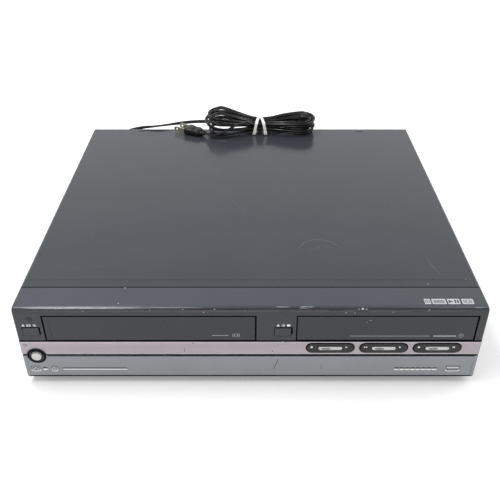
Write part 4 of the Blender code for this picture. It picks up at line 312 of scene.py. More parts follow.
def inner_finishes():
    # Steel sheet with a zinc plating: a grey metal with a faint spangle of crystals
    coat("zinc_steel", "zinc_plated_steel", "#b9bcc0", 0.38, 1.0, tooth=(0.5, 0.01), patch=(14, 0.06),
         grey=0.06, dust=0.03, crystals=(3.0, 0.08))
    # Aluminium turned on a lathe: a clean bright metal
    coat("aluminium", "turned_aluminium", "#d2d3d6", 0.26, 1.0, tooth=(0.3, 0.004), patch=(20, 0.04),
         grey=0.06)
    # Engineering plastic moulded in black, and in grey: a matt skin with a fine spark-eroded tooth
    coat("moulding_black", "black_moulding", "#1c1c1d", 0.50, tooth=(0.4, 0.02), patch=(20, 0.12),
         grey=0.06, dust=0.04)
    coat("moulding_grey", "grey_moulding", "#55565a", 0.50, tooth=(0.4, 0.02), patch=(20, 0.08),
         grey=0.06, dust=0.04)
    # Glass-fibre board under a green solder mask: its copper tracks show through as paler lines
    coat("board_green", "solder_mask", "#1d5a35", 0.42, tooth=(0.6, 0.02), patch=(6, 0.20), grey=0.08,
         dust=0.04, tracks=(7.0, "#3d8a58"))
    # Enamelled copper wire wound in close turns: the grain is as coarse as one turn
    coat("copper_winding", "enamelled_copper", "#b5722c", 0.36, 0.6, tooth=(0.35, 0.08), patch=(12, 0.10),
         grey=0.08)
    # Brass with a gold flash: contacts and the tips of the heads
    coat("gold_plate", "gold_plate", "#d8b25a", 0.25, 1.0, tooth=(0.3, 0.004), patch=(3, 0.05))
    # Steel with a black oxide: a dark metal whose edges still glint
    coat("black_screw", "black_oxide", "#191a1b", 0.42, 0.5, tooth=(0.3, 0.01), patch=(3, 0.1))


def lead_and_socket_finishes():
    # Soft vinyl drawn over the cores: black with a slightly oily gloss
    coat("cord_black", "soft_pvc", "#09090b", 0.30, tooth=(0.4, 0.01), patch=(25, 0.15), grey=0.08,
         dust=0.02)
    # Paper over a wire: a dull warm white with a faint nap
    coat("tie_white", "paper_tie", "#eceae4", 0.55, tooth=(0.3, 0.02), patch=(5, 0.04), grey=0.06)
    # Nickel plated on brass: a warm bright metal
    coat("blade_nickel", "nickel_plate", "#cfcab8", 0.22, 1.0, tooth=(0.4, 0.004), patch=(5, 0.06),
         grey=0.08)
    # Nylon moulded in the sockets' colours: a clean half gloss
    for colour, code in SOCKET_COLOURS.items():
        coat(f"socket_{colour}", f"{colour}_insulator", code, 0.42, tooth=(0.3, 0.006), patch=(5, 0.05))


def printed_finishes():
    # Ink screened on the plastic and the paint: thin, flat and dull. The shadow_print finish among them is
    # no ink but painted shade, a flat near black
    for slot, (name, code, rough) in INKS.items():
        coat(slot, name, code, rough, tooth=INK_TOOTH, patch=INK_PATCH)
    # Painted shade: a near black that sends nothing back, laid in the joints, on the reveals and round rims
    # where shade falls
    coat("painted_shade_black", "painted_gap_shade", "#030304", 0.9, tooth=INK_TOOTH, patch=INK_PATCH, index=1.12)
    # Painted highlight: the lacquered strip's own edges drawn lighter, as they catch more light than its
    # face
    coat("rim_highlight_lacquer", "rim_highlight_lacquer", "#c9c3c7", 0.3, 0.35, tooth=INK_TOOTH, patch=(12, 0.05))
    # Polycarbonate with a smoke tint, moulded clear: a small dark mirror
    coat("smoked_lens", "smoked_lens", "#1a1517", 0.12, tooth=(2, 0.002), patch=INK_PATCH)


def worn_finishes():
    # Where the spray has gone from the plastic, and the paint from the steel: pale and rough
    coat("bared_plastic", "bared_plastic", "#b4b8bd", 0.6, tooth=(0.3, 0.02), patch=(2, 0.15))
    coat("bared_steel", "bared_steel", "#c4c6c8", 0.45, 0.4, tooth=(0.3, 0.02), patch=(2, 0.15))
    # Painted highlights on the front's rounded edge, in the look of spray rubbed thin by hands and spray
    # nearly polished off
    coat("rubbed_edge_highlight", "rubbed_edge_highlight", "#6a6e76", 0.34, tooth=(0.3, 0.004), patch=(6, 0.15))
    coat("polished_edge_highlight", "polished_edge_highlight", "#8d929b", 0.3, tooth=(0.3, 0.004), patch=(6, 0.15))
    # Fine scratches that only dull the cover's paint
    coat("rubbed_paint", "rubbed_paint", "#62656c", 0.5, tooth=(0.3, 0.01), patch=(4, 0.1))


def finishes():
    outer_finishes()
    inner_finishes()
    lead_and_socket_finishes()
    printed_finishes()
    worn_finishes()


def dress_nodes():
    """Gives each CAD node the made finish of its slot."""
    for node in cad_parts.values():
        for entry in node.material_slots:
            entry.material = FINISHES[entry.material.name.split(".")[0]]


# Making pieces, in millimetres

def piece(name, bm, finish, body="housing", angle=35):
    """A piece of the player from bm, riding on a body, with the finish of a slot."""
    bmesh.ops.remove_doubles(bm, verts=bm.verts, dist=0.002)
    bmesh.ops.recalc_face_normals(bm, faces=bm.faces)
    bmesh.ops.transform(bm, matrix=in_metres(), verts=bm.verts)
    mesh = bpy.data.meshes.new(name)
    bm.to_mesh(mesh)
    bm.free()
    mesh.shade_smooth()
    mesh.set_sharp_from_angle(angle=math.radians(angle))
    made = bpy.data.objects.new(name, mesh)
    bpy.context.scene.collection.objects.link(made)
    mesh.materials.append(FINISHES[finish])
    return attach(made, body)


def bridge(bm, ring, other):
    for i in range(len(ring)):
        j = (i + 1) % len(ring)
        bm.faces.new((ring[i], ring[j], other[j], other[i]))


def loft(bm, outlines):
    """A closed shape through outlines of as many points each."""
    rings = [[bm.verts.new(point) for point in outline] for outline in outlines]
    for ring, other in zip(rings, rings[1:]):
        bridge(bm, ring, other)
    bm.faces.new(rings[0])
    bm.faces.new(rings[-1])
    return bm


def turned(bm, profile, at, direction, sides=24):
    """The profile of (radius, height) points, turned about direction from at."""
    turn = Vector((0, 0, 1)).rotation_difference(Vector(direction)).to_matrix()
    at = Vector(at)
    rings = []
    for radius, height in profile:
        count = sides if radius > 0.001 else 1
        angles = [math.tau * i / sides for i in range(count)]
        spots = [Vector((radius * math.cos(a), radius * math.sin(a), height)) for a in angles]
        rings.append([bm.verts.new(at + turn @ spot) for spot in spots])
    for ring, other in zip(rings, rings[1:]):
        join_rings(bm, ring, other)
    if profile[0][0] > 0.001 and profile[-1][0] > 0.001:
        bridge(bm, rings[-1], rings[0])
    return bm


def join_rings(bm, ring, other):
    if len(ring) == len(other):
        bridge(bm, ring, other)
        return
    point, rim = (ring[0], other) if len(ring) == 1 else (other[0], ring)
    for i in range(len(rim)):
        bm.faces.new((point, rim[i], rim[(i + 1) % len(rim)]))


def block(bm, x, y, z, edge=0.0):
    """A box with its edges broken by a small chamfer."""
    size = Matrix.Diagonal((x[1] - x[0], y[1] - y[0], z[1] - z[0], 1))
    middle = Matrix.Translation(((x[0] + x[1]) / 2, (y[0] + y[1]) / 2, (z[0] + z[1]) / 2))
    made = bmesh.ops.create_cube(bm, size=1, matrix=middle @ size)["verts"]
    if edge:
        edges = {e for vert in made for e in vert.link_edges}
        bmesh.ops.bevel(bm, geom=list(edges), offset=edge, segments=2, profile=0.5, affect="EDGES")
    return bm


def seated(axis, p, q, level):
    """The point at p and q on an outline, at a level along the axis that the outline looks down."""
    return {"X": (level, p, q), "Y": (p, level, q), "Z": (p, q, level)}[axis]


def slab(bm, outline, axis, span):
    """The outline extruded along an axis; its points lie in the other two axes."""
    return loft(bm, [[seated(axis, p, q, level) for p, q in outline] for level in span])


def pierced(bm, outline, holes, axis, span):
    """A flat plate with holes through it."""
    start, end = span
    edges = []
    for loop in [outline, *holes]:
        rim = [bm.verts.new(seated(axis, p, q, start)) for p, q in loop]
        edges += [bm.edges.new((a, b)) for a, b in zip(rim, rim[1:] + rim[:1])]
    faces = bmesh.ops.triangle_fill(bm, edges=edges, use_beauty=True)["geom"]
    faces = [item for item in faces if isinstance(item, bmesh.types.BMFace)]
    grown = bmesh.ops.extrude_face_region(bm, geom=faces)["geom"]
    moved = [item for item in grown if isinstance(item, bmesh.types.BMVert)]
    shift = Vector(seated(axis, 0, 0, end)) - Vector(seated(axis, 0, 0, start))
    bmesh.ops.translate(bm, vec=shift, verts=moved)
    return bm


def facet(bm, points):
    """One thin face through the points."""
    bm.faces.new([bm.verts.new(point) for point in points])


def band(inner, outer, low, high):
    """The profile of a plain ring for turned(), or of a disc where inner is 0."""
    return [(inner, low), (outer, low), (outer, high), (inner, high)]


def arc(centre, radius, angles):
    return [(centre[0] + radius * math.cos(a), centre[1] + radius * math.sin(a)) for a in angles]


def circle(centre, radius, sides=20, flat=1.0):
    angles = [math.tau * i / sides for i in range(sides)]
    return [(centre[0] + radius * math.cos(a), centre[1] + flat * radius * math.sin(a)) for a in angles]


def oblong(centre, width, height, corner, steps=4):
    """A rectangle with round corners."""
    points = []
    for i, (a, b) in enumerate(((1, 1), (-1, 1), (-1, -1), (1, -1))):
        middle = centre[0] + a * (width / 2 - corner), centre[1] + b * (height / 2 - corner)
        for k in range(steps + 1):
            angle = math.pi / 2 * (i + k / steps)
            points.append((middle[0] + corner * math.cos(angle), middle[1] + corner * math.sin(angle)))
    return points


# Prints and wear

def bar(x, y, width, height):
    return [(x, y), (x + width, y), (x + width, y + height), (x, y + height)]


def outline_print(outline, inner):
    """The quads between an outline and a smaller one of as many points."""
    count = len(outline)
    return [[outline[i], outline[(i + 1) % count], inner[(i + 1) % count], inner[i]] for i in range(count)]


def ring_print(centre, radius, line):
    return outline_print(circle(centre, radius), circle(centre, radius - line))


def eject_mark(x, y, size):
    triangle = [(x - size / 2, y - size * 0.1), (x + size / 2, y - size * 0.1), (x, y + size / 2)]
    return [triangle, bar(x - size / 2, y - size / 2, size, size * 0.22)]


def arrow_mark(x, y, size, way=1):
    half = size / 2
    return [[(x - way * half, y - half), (x + way * half, y), (x - way * half, y + half)]]


def cassette_mark(x, y, width, line=0.35):
    """A cassette seen from above: its outline and two reels."""
    height = width * 0.58
    outer = oblong((x, y), width, height, width * 0.1)
    inner = oblong((x, y), width - 2 * line, height - 2 * line, width * 0.1 - line * 0.5)
    reels = [circle((x + side * width * 0.22, y), width * 0.11, 12) for side in (-1, 1)]
    return outline_print(outer, inner) + reels


def disc_mark(x, y, size, line=0.35):
    return ring_print((x, y), size / 2, line) + ring_print((x, y), size * 0.16, size * 0.09)


def power_mark(x, y, radius, line):
    """An open ring with a stroke through its gap."""
    angles = [math.radians(125 + 290 * i / 14) for i in range(15)]
    outer = arc((x, y), radius, angles)
    inner = arc((x, y), radius - line, angles)
    arcs = [[a, b, d, c] for a, b, c, d in zip(outer, outer[1:], inner, inner[1:])]
    return arcs + [bar(x - line / 2, y, line, radius * 1.15)]


PRINT_DEPTH = 0.04


def blocks(name, boxes, edge, finish, body="housing"):
    """Blocks as one piece. Each is given by its spans along x, y and z."""
    bm = bmesh.new()
    for spans in boxes:
        block(bm, *spans, edge)
    piece(name, bm, finish, body)


def plates(name, shapes, axis, span, finish, body="housing"):
    """Flat shapes of one thickness, as one piece."""
    bm = bmesh.new()
    for shape in shapes:
        slab(bm, shape, axis, span)
    return piece(name, bm, finish, body)


def prints(name, shapes, finish, body="housing", face=0, axis="Y"):
    """Screen print that stands a hair off a face of the front (axis Y) or of the top (axis Z)."""
    off = face - PRINT_DEPTH if axis == "Y" else face + PRINT_DEPTH
    return plates(name, shapes, axis, (face, off), finish, body)


def top_prints(name, shapes, finish, face=TOP):
    """Screen print, or a worn spot drawn in the same way, on the cover's top."""
    return prints(name, shapes, finish, face=face, axis="Z")


def stroke(points, width, taper=0.3):
    """A scratch along the points, thin at both ends."""
    left, right = [], []
    for i, (x, y) in enumerate(points):
        before, after = points[max(i - 1, 0)], points[min(i + 1, len(points) - 1)]
        run = math.hypot(after[0] - before[0], after[1] - before[1])
        share = taper if i in (0, len(points) - 1) else 1
        reach = width / 2 * share / run
        nx, ny = -(after[1] - before[1]) * reach, (after[0] - before[0]) * reach
        left.append((x + nx, y + ny))
        right.append((x - nx, y - ny))
    return [[left[i], left[i + 1], right[i + 1], right[i]] for i in range(len(points) - 1)]


def chip(x, y, size, dice, flat=0.6):
    """A flake of missing paint with a ragged rim."""
    count = 7
    reach = [size / 2 * dice.uniform(0.55, 1.0) for _ in range(count)]
    angles = [math.tau * i / count for i in range(count)]
    return [(x + r * math.cos(a), y + flat * r * math.sin(a)) for r, a in zip(reach, angles)]


# Mains lead

CORD_CAD_RADIUS = 2.2
CORD_WIDTH = 4.8
CORD_THICKNESS = 2.6
LEAD_PITCH = 2.4
RUN_IN = 4.7
LEVEL_SHARE = 0.105
LEVEL_POINTS = 40
GLAND = (-172, 383, 26)
GLAND_LENGTH = 24
HANK_CENTRE = (15.5, 381.2)
HANK_TILT = math.radians(3)
HANK_HALF_RUN = 52.5
HANK_FOLD = 18.8
HANK_SPIRAL = 6.1
HANK_SWELL = 4.0
HANK_LIFT_SHARE = 0.4
HANK_LAYER = 5.0
HANK_LAYERS = 4
LAYER_TURNS = 1.5
HANK_WAIST = 9.0
WAIST_SQUEEZE = 0.32
RUN_STEPS = 5
CAP_STEPS = 7
TIE_THICKNESS = 0.8
TIE_FIT = 0.4
TIE_HALF = 1.9
TOUCH = 0.3
PLUG_START = (-60.5, 361.5)
PLUG_HEADING = math.radians(150)
PLUG_RISE = 4.6


def waist(along):
    share = math.cos(math.pi / 2 * along) ** 2
    return HANK_WAIST * share, (TIE_FIT + TIE_THICKNESS) * share


def hank_step(step):
    """One point of the hank: along its runs, across them, and up through its layers."""
    half_steps = RUN_STEPS + CAP_STEPS
    turn = step / (2 * half_steps)
    layer = min(int(turn / LAYER_TURNS), HANK_LAYERS - 1)
    into = turn - LAYER_TURNS * layer
    wound = min(into, 1) if layer < HANK_LAYERS - 1 else into
    drawn = wound if layer % 2 == 0 else 1 - wound
    climb = min(max((into - 1) * 2, 0), 1) if layer < HANK_LAYERS - 1 else 0
    side = 1 if (step // half_steps) % 2 == 0 else -1
    spot = step % half_steps
    along = side * min(2 * spot / RUN_STEPS - 1, 1)
    loose = min(along, 0) ** 2
    radius = HANK_FOLD - HANK_SPIRAL * drawn + HANK_SWELL * loose
    through = HANK_LAYER * (layer + climb * climb * (3 - 2 * climb)) * (1 + HANK_LIFT_SHARE * loose)
    if spot < RUN_STEPS:
        drawn_in, raised = waist(along)
        through *= 1 - WAIST_SQUEEZE * drawn_in / HANK_WAIST
        return HANK_HALF_RUN * along, side * (radius - drawn_in), through + raised
    angle = math.pi * (spot - RUN_STEPS) / CAP_STEPS
    return side * (HANK_HALF_RUN + radius * math.sin(angle)), side * radius * math.cos(angle), through


def hank_points():
    half_steps = RUN_STEPS + CAP_STEPS
    steps = 2 * half_steps * HANK_LAYERS + half_steps * (HANK_LAYERS - 1) + RUN_STEPS // 2 + 1
    local = [hank_step(step) for step in range(steps + 1)]
    local.insert(0, (local[0][0] - 2 * CORD_CAD_RADIUS, *local[0][1:]))
    across = Vector((0, math.cos(HANK_TILT), math.sin(HANK_TILT)))
    through = Vector((0, -math.sin(HANK_TILT), math.cos(HANK_TILT)))
    points = [Vector((a, 0, 0)) + across * b + through * c for a, b, c in local]
    lift = TOP + TOUCH + CORD_CAD_RADIUS - min(point.z for point in points)
    return [point + Vector((*HANK_CENTRE, lift)) for point in points]


def lead_points():
    """Out of the gland, up behind the back, over its top edge and along it to the hank."""
    x, y, z = GLAND
    start = Vector((x, y + GLAND_LENGTH + TOUCH, z))
    return [
        start,
        start + Vector((0, 4.4, 0)),
        (-172.0, 425.0, 27.5),
        (-172.5, 436.0, 35.0),
        (-173.0, 438.5, 46.0),
        (-173.3, 432.0, 57.0),
        (-172.3, 419.0, 66.0),
        (-168.5, 405.5, 73.0),
        (-160.0, 395.5, 79.2),
        (-147.0, 390.2, 84.0),
        (-130.0, 389.5, 86.0),
        (-114.0, 393.5, 86.4),
        (-97.0, 398.5, 86.8),
        (-78.0, 402.5, 87.0),
        (-60.0, 404.0, 86.8),
    ]


def plug_axis():
    return Vector((math.cos(PLUG_HEADING), math.sin(PLUG_HEADING), 0))


def plug_start():
    return Vector((*PLUG_START, TOP + TOUCH + PLUG_RISE))


def tail_points():
    """Out of the bundle past the tie, over its front and down to the plug on the cover."""
    end = plug_start() - plug_axis() * TOUCH
    return [
        (-3.0, 367.5, 101.2),
        (-9.0, 365.1, 101.2),
        (-17.0, 360.5, 100.8),
        (-26.0, 355.8, 98.0),
        (-35.0, 353.7, 93.0),
        (-44.0, 354.3, 89.2),
        (-52.0, 356.8, 87.9),
        end - plug_axis() * 4.4,
        end,
    ]


def smooth_route(points, pitch):
    """Evenly spaced points along a smooth curve through the given ones."""
    points = [Vector(point) for point in points]
    padded = [2 * points[0] - points[1], *points, 2 * points[-1] - points[-2]]
    fine = []
    for a, b, c, d in zip(padded, padded[1:], padded[2:], padded[3:]):
        for i in range(12):
            t = i / 12
            bend = (2 * a - 5 * b + 4 * c - d) * t * t + (3 * b - a - 3 * c + d) * t**3
            fine.append((2 * b + (c - a) * t + bend) / 2)
    fine.append(points[-1])
    table = np.array([tuple(point) for point in fine])
    run = np.concatenate([[0], np.cumsum(np.linalg.norm(np.diff(table, axis=0), axis=1))])
    spaced = np.linspace(0, run[-1], int(run[-1] / pitch) + 1)
    return [Vector([np.interp(s, run, table[:, k]) for k in range(3)]) for s in spaced], run[-1]


def twin_section():
    """The two round cores of a flat twin lead side by side, in its own width and thickness."""
    radius = CORD_THICKNESS / 2
    reach = (CORD_WIDTH - CORD_THICKNESS) / 2
    angles = [math.radians(-135 + 45 * i) for i in range(7)]
    right = [(reach + radius * math.cos(a), radius * math.sin(a)) for a in angles]
    return right + [(-u, -v) for u, v in right]


def carried_frames(points):
    """The direction of the lead at each point, with a sideways direction carried along it."""
    ahead = [(b - a).normalized() for a, b in zip(points, points[1:])]
    tangents = [ahead[0]] + [(a + b).normalized() for a, b in zip(ahead, ahead[1:])] + [ahead[-1]]
    side = Vector((1, 0, 0))
    frames = []
    for tangent in tangents:
        side = (side - tangent * side.dot(tangent)).normalized()
        frames.append((tangent, side))
    return frames


def lead_rolls(points, frames):
    """How far the flat of the lead is rolled: level at the gland and the plug, on edge round the folds."""
    turns = []
    for point, (tangent, side) in zip(points, frames):
        level = tangent.cross(Vector((0, 0, 1)))
        level = level.normalized() if level.length > 0.2 else side
        turns.append(math.atan2(tangent.dot(side.cross(level)), side.dot(level)))
    turns = np.unwrap(turns)
    reached = int(len(points) * LEVEL_SHARE)
    rise = np.clip(np.arange(len(points)) / reached, 0, 1)
    eased = rise * rise * (3 - 2 * rise)
    turns = np.where(np.arange(len(points)) < reached, turns[reached] * eased, turns)
    fold = np.array([min(abs(point.x - HANK_CENTRE[0]) / HANK_HALF_RUN, 1.2) for point in points])
    edge = np.radians(8 + 55 * np.clip(fold - 0.2, 0, 1)) * eased
    edge[-LEVEL_POINTS:] *= np.linspace(1, 0, LEVEL_POINTS)
    return turns + edge


def mains_lead():
    """One flat twin lead from the gland, through the hank, to the plug."""
    hank = hank_points()
    route = lead_points() + [hank[0] - Vector((RUN_IN, 0, 0))] + hank + tail_points()
    points, length = smooth_route(route, LEAD_PITCH)
    frames = carried_frames(points)
    section = twin_section()
    outlines = []
    for point, (tangent, side), roll in zip(points, frames, lead_rolls(points, frames)):
        wide = Matrix.Rotation(roll, 3, tangent) @ side
        thin = tangent.cross(wide)
        outlines.append([point + wide * u + thin * v for u, v in section])
    cord = piece("mains_lead", loft(bmesh.new(), outlines), "cord_black")
    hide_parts("cord_lead", "cord_hank", "cord_tail")
    return cord, [place(*point) for point in points], length / MM_PER_METRE


# The front

LID_MIDDLE = 124.15
KEY_XS = {"left": 74.35, "middle": LID_MIDDLE, "right": 173.95}
KEY_Z = 36.3
RING_X, RING_Z = -200.8, 26.2
RING_NOTCH = 9.1
STRIP_LOW, STRIP_HIGH = 28.1, 43.5
DOOR_FOOT = 45.7
BADGE_Y = 10.6
EDGE_RADIUS = 4.5
FLAKE_LIFT = 0.04
STREAK_LIFT = 0.03


def stadium(centre, width, height, steps=10):
    """A bar with round ends."""
    return oblong(centre, width, height, height / 2 - 0.001, steps)


def silver_strip():
    """The lacquered strip, with its three round-ended windows and the notch for the power ring."""
    start = math.asin((STRIP_LOW - RING_Z) / RING_NOTCH)
    angles = [start + (math.pi - 2 * start) * i / 18 for i in range(19)]
    notch = arc((RING_X, RING_Z), RING_NOTCH, angles)
    outline = [(HALF, STRIP_LOW), (HALF, STRIP_HIGH), (-HALF, STRIP_HIGH), (-HALF, STRIP_LOW)]
    windows = [stadium((x, KEY_Z), 45.0, 12.0) for x in KEY_XS.values()]
    bm = pierced(bmesh.new(), outline + notch[::-1], windows, "Y", (0, 2.0))
    break_front_edges(bm, 0, 0.35)
    made = piece("silver_strip", bm, "strip_silver")
    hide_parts("trim_strip")


def strip_lines():
    """Painted highlights along the strip's rims, and painted shade as near-black lines round its windows,
    the power ring and its cap, and over the top of the flap.
    """
    rim_highlights = [bar(-HALF + 0.4, 42.4, 2 * HALF - 0.8, 0.7), bar(-190.5, 28.4, HALF + 190.1, 0.6)]
    prints("strip_rim_highlights", rim_highlights, "rim_highlight_lacquer")
    edges = []
    for x in KEY_XS.values():
        edges += outline_print(stadium((x, KEY_Z), 45.8, 12.7, 8), stadium((x, KEY_Z), 43.8, 11.0, 8))
    prints("window_edges", edges, "painted_shade_black")
    line = [bar(-191.0, 25.4, HALF + 190.6, 1.1), bar(-HALF + 0.5, 25.4, 3.4, 1.1)]
    prints("flap_top_line", line, "painted_shade_black", "flap")
    prints("ring_edge", ring_print((RING_X, RING_Z), 8.5, 1.3), "painted_shade_black", face=-0.8)
    prints("cap_edge", ring_print((RING_X, RING_Z), 5.25, 0.6), "painted_shade_black", "power", face=-1.5)


def break_front_edges(bm, face, width):
    """Rounds the rim of the face that looks forward."""
    rim = []
    for edge in bm.edges:
        on_face = all(abs(vert.co.y - face) < 0.001 for vert in edge.verts)
        if on_face and edge.calc_face_angle(0) > 0.8:
            rim.append(edge)
    bmesh.ops.bevel(bm, geom=rim, offset=width, segments=2, profile=0.5, affect="EDGES")


def dark_gaps():
    """Painted shade between the front's parts: near-black blocks in the joints, and near-black lines on the
    doors' reveals and round the eject keys.
    """
    shade_blocks = [((-214.1, 214.1), (0.3, 2.25), (43.55, 45.55)), ((-213.9, 213.9), (2.0, 2.28), (27.2, 44.8))]
    blocks("joint_shade_blocks", shade_blocks, 0, "painted_shade_black")
    shade_blocks = [(span, (0.3, 2.3), (26.45, 26.8)) for span in ((-191.2, 210.9), (-211.2, -210.4))]
    blocks("flap_shade_blocks", shade_blocks, 0, "painted_shade_black", "flap")
    reveals = []
    for left, right, line in ((-187.5, 4.1, 1.6), (42.8, 205.5, 1.0)):
        reveals += [bar(left - line, DOOR_FOOT, line, 29.3), bar(right + 0.1, DOOR_FOOT, 1.4, 29.3)]
        reveals += [bar(left - line, 73.8, right - left + line + 1.5, 1.3)]
    for left, right in ((-208.5, -193.3), (22.0, 37.2)):
        reveals += [bar(left, 60.2, right - left + 1.5, 1.2), bar(right + 0.1, 53.0, 1.4, 7.4)]
    prints("reveals", reveals, "painted_shade_black")


def flap_ends():
    """The flap's lips over the cheeks, and painted shade along its foot: a near-black strip under its lower
    edge.
    """
    lips = [(span, (-0.3, -0.02), (0.6, 26.4)) for span in ((-213.9, -211.0), (211.0, 213.9))]
    blocks("flap_lips", lips, 0.1, "flap_grey", "flap")
    blocks("flap_foot_shade", [((-213.4, 213.4), (0.1, 1.6), (-0.9, 0.6))], 0.3, "painted_shade_black", "flap")


ROCKER_STEPS = [(43.6, 10.8, 4.5), (43.6, 10.8, -0.4), (43.2, 10.4, -0.8), (42.4, 9.6, -1.0),
                (41.2, 8.4, -1.0), (40.5, 7.7, -0.7), (23.6, 5.0, -0.65), (23.2, 4.6, -0.4),
                (23.2, 4.6, 4.5)]
SELECT_STEPS = [(22.4, 3.9, 4.4), (22.4, 3.9, -0.8), (22.0, 3.6, -1.2), (21.6, 3.2, -1.3)]


def stadium_loops(bm, x, steps):
    loops = []
    for width, height, y in steps:
        loops.append([bm.verts.new((a, y, b)) for a, b in stadium((x, KEY_Z), width, height)])
    for loop, other in zip(loops, loops[1:]):
        bridge(bm, loop, other)
    return loops


def rocker_keys():
    """The rocker keys, a raised rim round a dish with an open middle, and the select bars in them."""
    for side, x in KEY_XS.items():
        bm = bmesh.new()
        loops = stadium_loops(bm, x, ROCKER_STEPS)
        bridge(bm, loops[-1], loops[0])
        made = piece(f"dished_rocker_{side}", bm, "key_black", f"rocker_{side}", angle=40)
        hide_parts(f"rocker_key_{side}")
        bm = bmesh.new()
        loops = stadium_loops(bm, x, SELECT_STEPS)
        bm.faces.new(loops[0])
        bm.faces.new(loops[-1])
        made = piece(f"select_bar_{side}", bm, "button_silver", f"select_{side}", angle=40)
        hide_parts(f"select_key_{side}")


def front_prints():
    """Generic symbols where such a front carries its printing."""
    marks = eject_mark(-206.6, 63.7, 2.6) + cassette_mark(-201.6, 63.6, 3.8) + disc_mark(-196.2, 63.6, 2.8)
    marks += eject_mark(25.2, 63.7, 2.6) + disc_mark(29.9, 63.6, 2.8) + [bar(33.2, 62.5, 3.0, 2.2)]
    prints("fascia_marks", marks, "white_print")
    marks = cassette_mark(-13.2, 51.8, 6.4) + [bar(-35.3, 51.2, 15, 0.6)]
    prints("door_marks", marks, "grey_print", "door")
    # Painted shade on the door: a dark line near its left end and a dark dot near its top right
    prints("door_sight_line", [bar(-183.0, 46.6, 0.5, 25.5)], "shadow_print", "door")
    prints("door_sensor_dot", [circle((-1.2, 69.6), 0.7, 12)], "shadow_print", "door")
    marks = disc_mark(193.4, 51.4, 4.6) + [bar(91.5, 50.6, 73, 0.5), bar(168, 50.2, 21, 1.3)]
    prints("lid_marks", marks, "grey_print", "tray")
    marks = power_mark(-209.2, 39.6, 1.6, 0.4) + [circle((-204.6, 41.8), 0.4, 8)]
    prints("strip_marks", marks, "dark_print")
    prints("flap_marks", flap_marks(0), "white_print", "flap")
    prints("flap_mark_shadows", flap_marks(2.1), "dark_print", "flap")


def flap_marks(up):
    """Symbols for the two decks at the left, and for what the sockets are at the right."""
    marks = cassette_mark(-204.6, 8.6 + up, 8.4, 0.6) + disc_mark(-186.6, 8.6 + up, 5.6, 0.7)
    marks += arrow_mark(-194.4, 8.6 + up, 2.6) + arrow_mark(-197.0, 8.6 + up, 2.6, -1)
    marks += [bar(-178.5, 8.0 + up, 61, 0.9)]
    marks += [bar(137 + 5.2 * i, 7.5 + up, 4.4, 1.6) for i in range(8)]
    return marks + outline_print(oblong((193, 8.6 + up), 13, 5, 1), oblong((193, 8.6 + up), 11.6, 3.6, 0.6))


KEY_MARKS = {
    "left": ([bar(-1.0, -0.9, 1.9, 1.9)], arrow_mark(0, 0, 2.1)),
    "middle": (arrow_mark(-0.9, 0, 1.7, -1) + arrow_mark(0.9, 0, 1.7, -1), arrow_mark(0, 0, 2.1)),
    "right": ([circle((0, 0), 1.05, 14)], [bar(-1.0, -1.0, 0.7, 2.0), bar(0.3, -1.0, 0.7, 2.0)]),
}


def key_prints():
    for side, x in KEY_XS.items():
        shapes = []
        for reach, marks in zip((-17.4, 15.1), KEY_MARKS[side]):
            shapes += [[(a + x + reach, b + KEY_Z + 1.3) for a, b in shape] for shape in marks]
        prints(f"rocker_marks_{side}", shapes, "white_print", f"rocker_{side}", face=-0.7)
        ellipse = circle((x - 4.0, KEY_Z - 0.1), 4.4, 24, 0.26)
        inner = circle((x - 4.0, KEY_Z - 0.1), 3.4, 24, 0.18)
        shapes = outline_print(ellipse, inner) + [bar(x - 6.6, KEY_Z - 0.35, 5.4, 0.5)]
        prints(f"select_marks_{side}", shapes, "dark_print", f"select_{side}", face=-1.3)


def sensor_window():
    """The round dark lens of the remote sensor."""
    profile = [(3.1, 0.05), (3.1, 0.18), (2.7, 0.3), (0, 0.42)]
    bm = turned(bmesh.new(), [(0, 0.05), *profile], (-200.3, 0, 70.1), (0, -1, 0), 28)
    piece("sensor_window", bm, "smoked_lens", angle=60)


def badge_prints():
    """Four small pale panels on the top's front edge, each with a plain symbol."""
    panels = [(160.2, 5.6), (170.6, 12.6), (184.0, 11.2), (196.6, 10.4)]
    shapes = [oblong((x, BADGE_Y), width, 7.4, 0.5) for x, width in panels]
    top_prints("top_badges", shapes, "pale_print")
    marks = disc_mark(160.2, BADGE_Y, 4.4, 0.6) + [bar(165.6, 8.4 + 1.6 * i, 10, 0.8) for i in range(3)]
    marks += arrow_mark(181.4, BADGE_Y, 4.4) + [bar(184.6, 8.4, 1.5, 4.4), bar(187.0, 8.4, 1.5, 4.4)]
    marks += cassette_mark(196.6, BADGE_Y, 7.6, 0.6)
    top_prints("top_badge_marks", marks, "dark_print", face=TOP + PRINT_DEPTH)


def round_edge(x, turn, lift):
    """A point a hair off the rounded front edge; turn is 0 on top and a right angle on the front."""
    radius = EDGE_RADIUS + lift
    return x, EDGE_RADIUS - radius * math.sin(turn), TOP - EDGE_RADIUS + radius * math.cos(turn)


def on_round(x, quarter, size, dice, flat):
    """A flake on the rounded front edge, quarter being 0 on top and 1 on the front."""
    angle = math.pi / 2 * quarter
    flake = chip(0, 0, size, dice, flat)
    return [round_edge(x + a, angle + b / (EDGE_RADIUS + FLAKE_LIFT), FLAKE_LIFT) for a, b in flake]


EDGE_CHIPS = [(-60.5, 0.55, 1.5), (-42, 0.9, 2.0), (-32.1, 0.5, 1.7), (100.5, 0.45, 3.2), (104, 0.5, 2.0),
              (97, 0.5, 1.6), (85.6, 1.0, 2.2), (93.8, 1.05, 1.9), (50.9, 0.4, 1.2), (-5, 0.7, 1.0),
              (-150, 0.8, 1.0), (160, 0.6, 1.4), (128, 0.9, 1.2), (-90, 0.6, 1.1)]


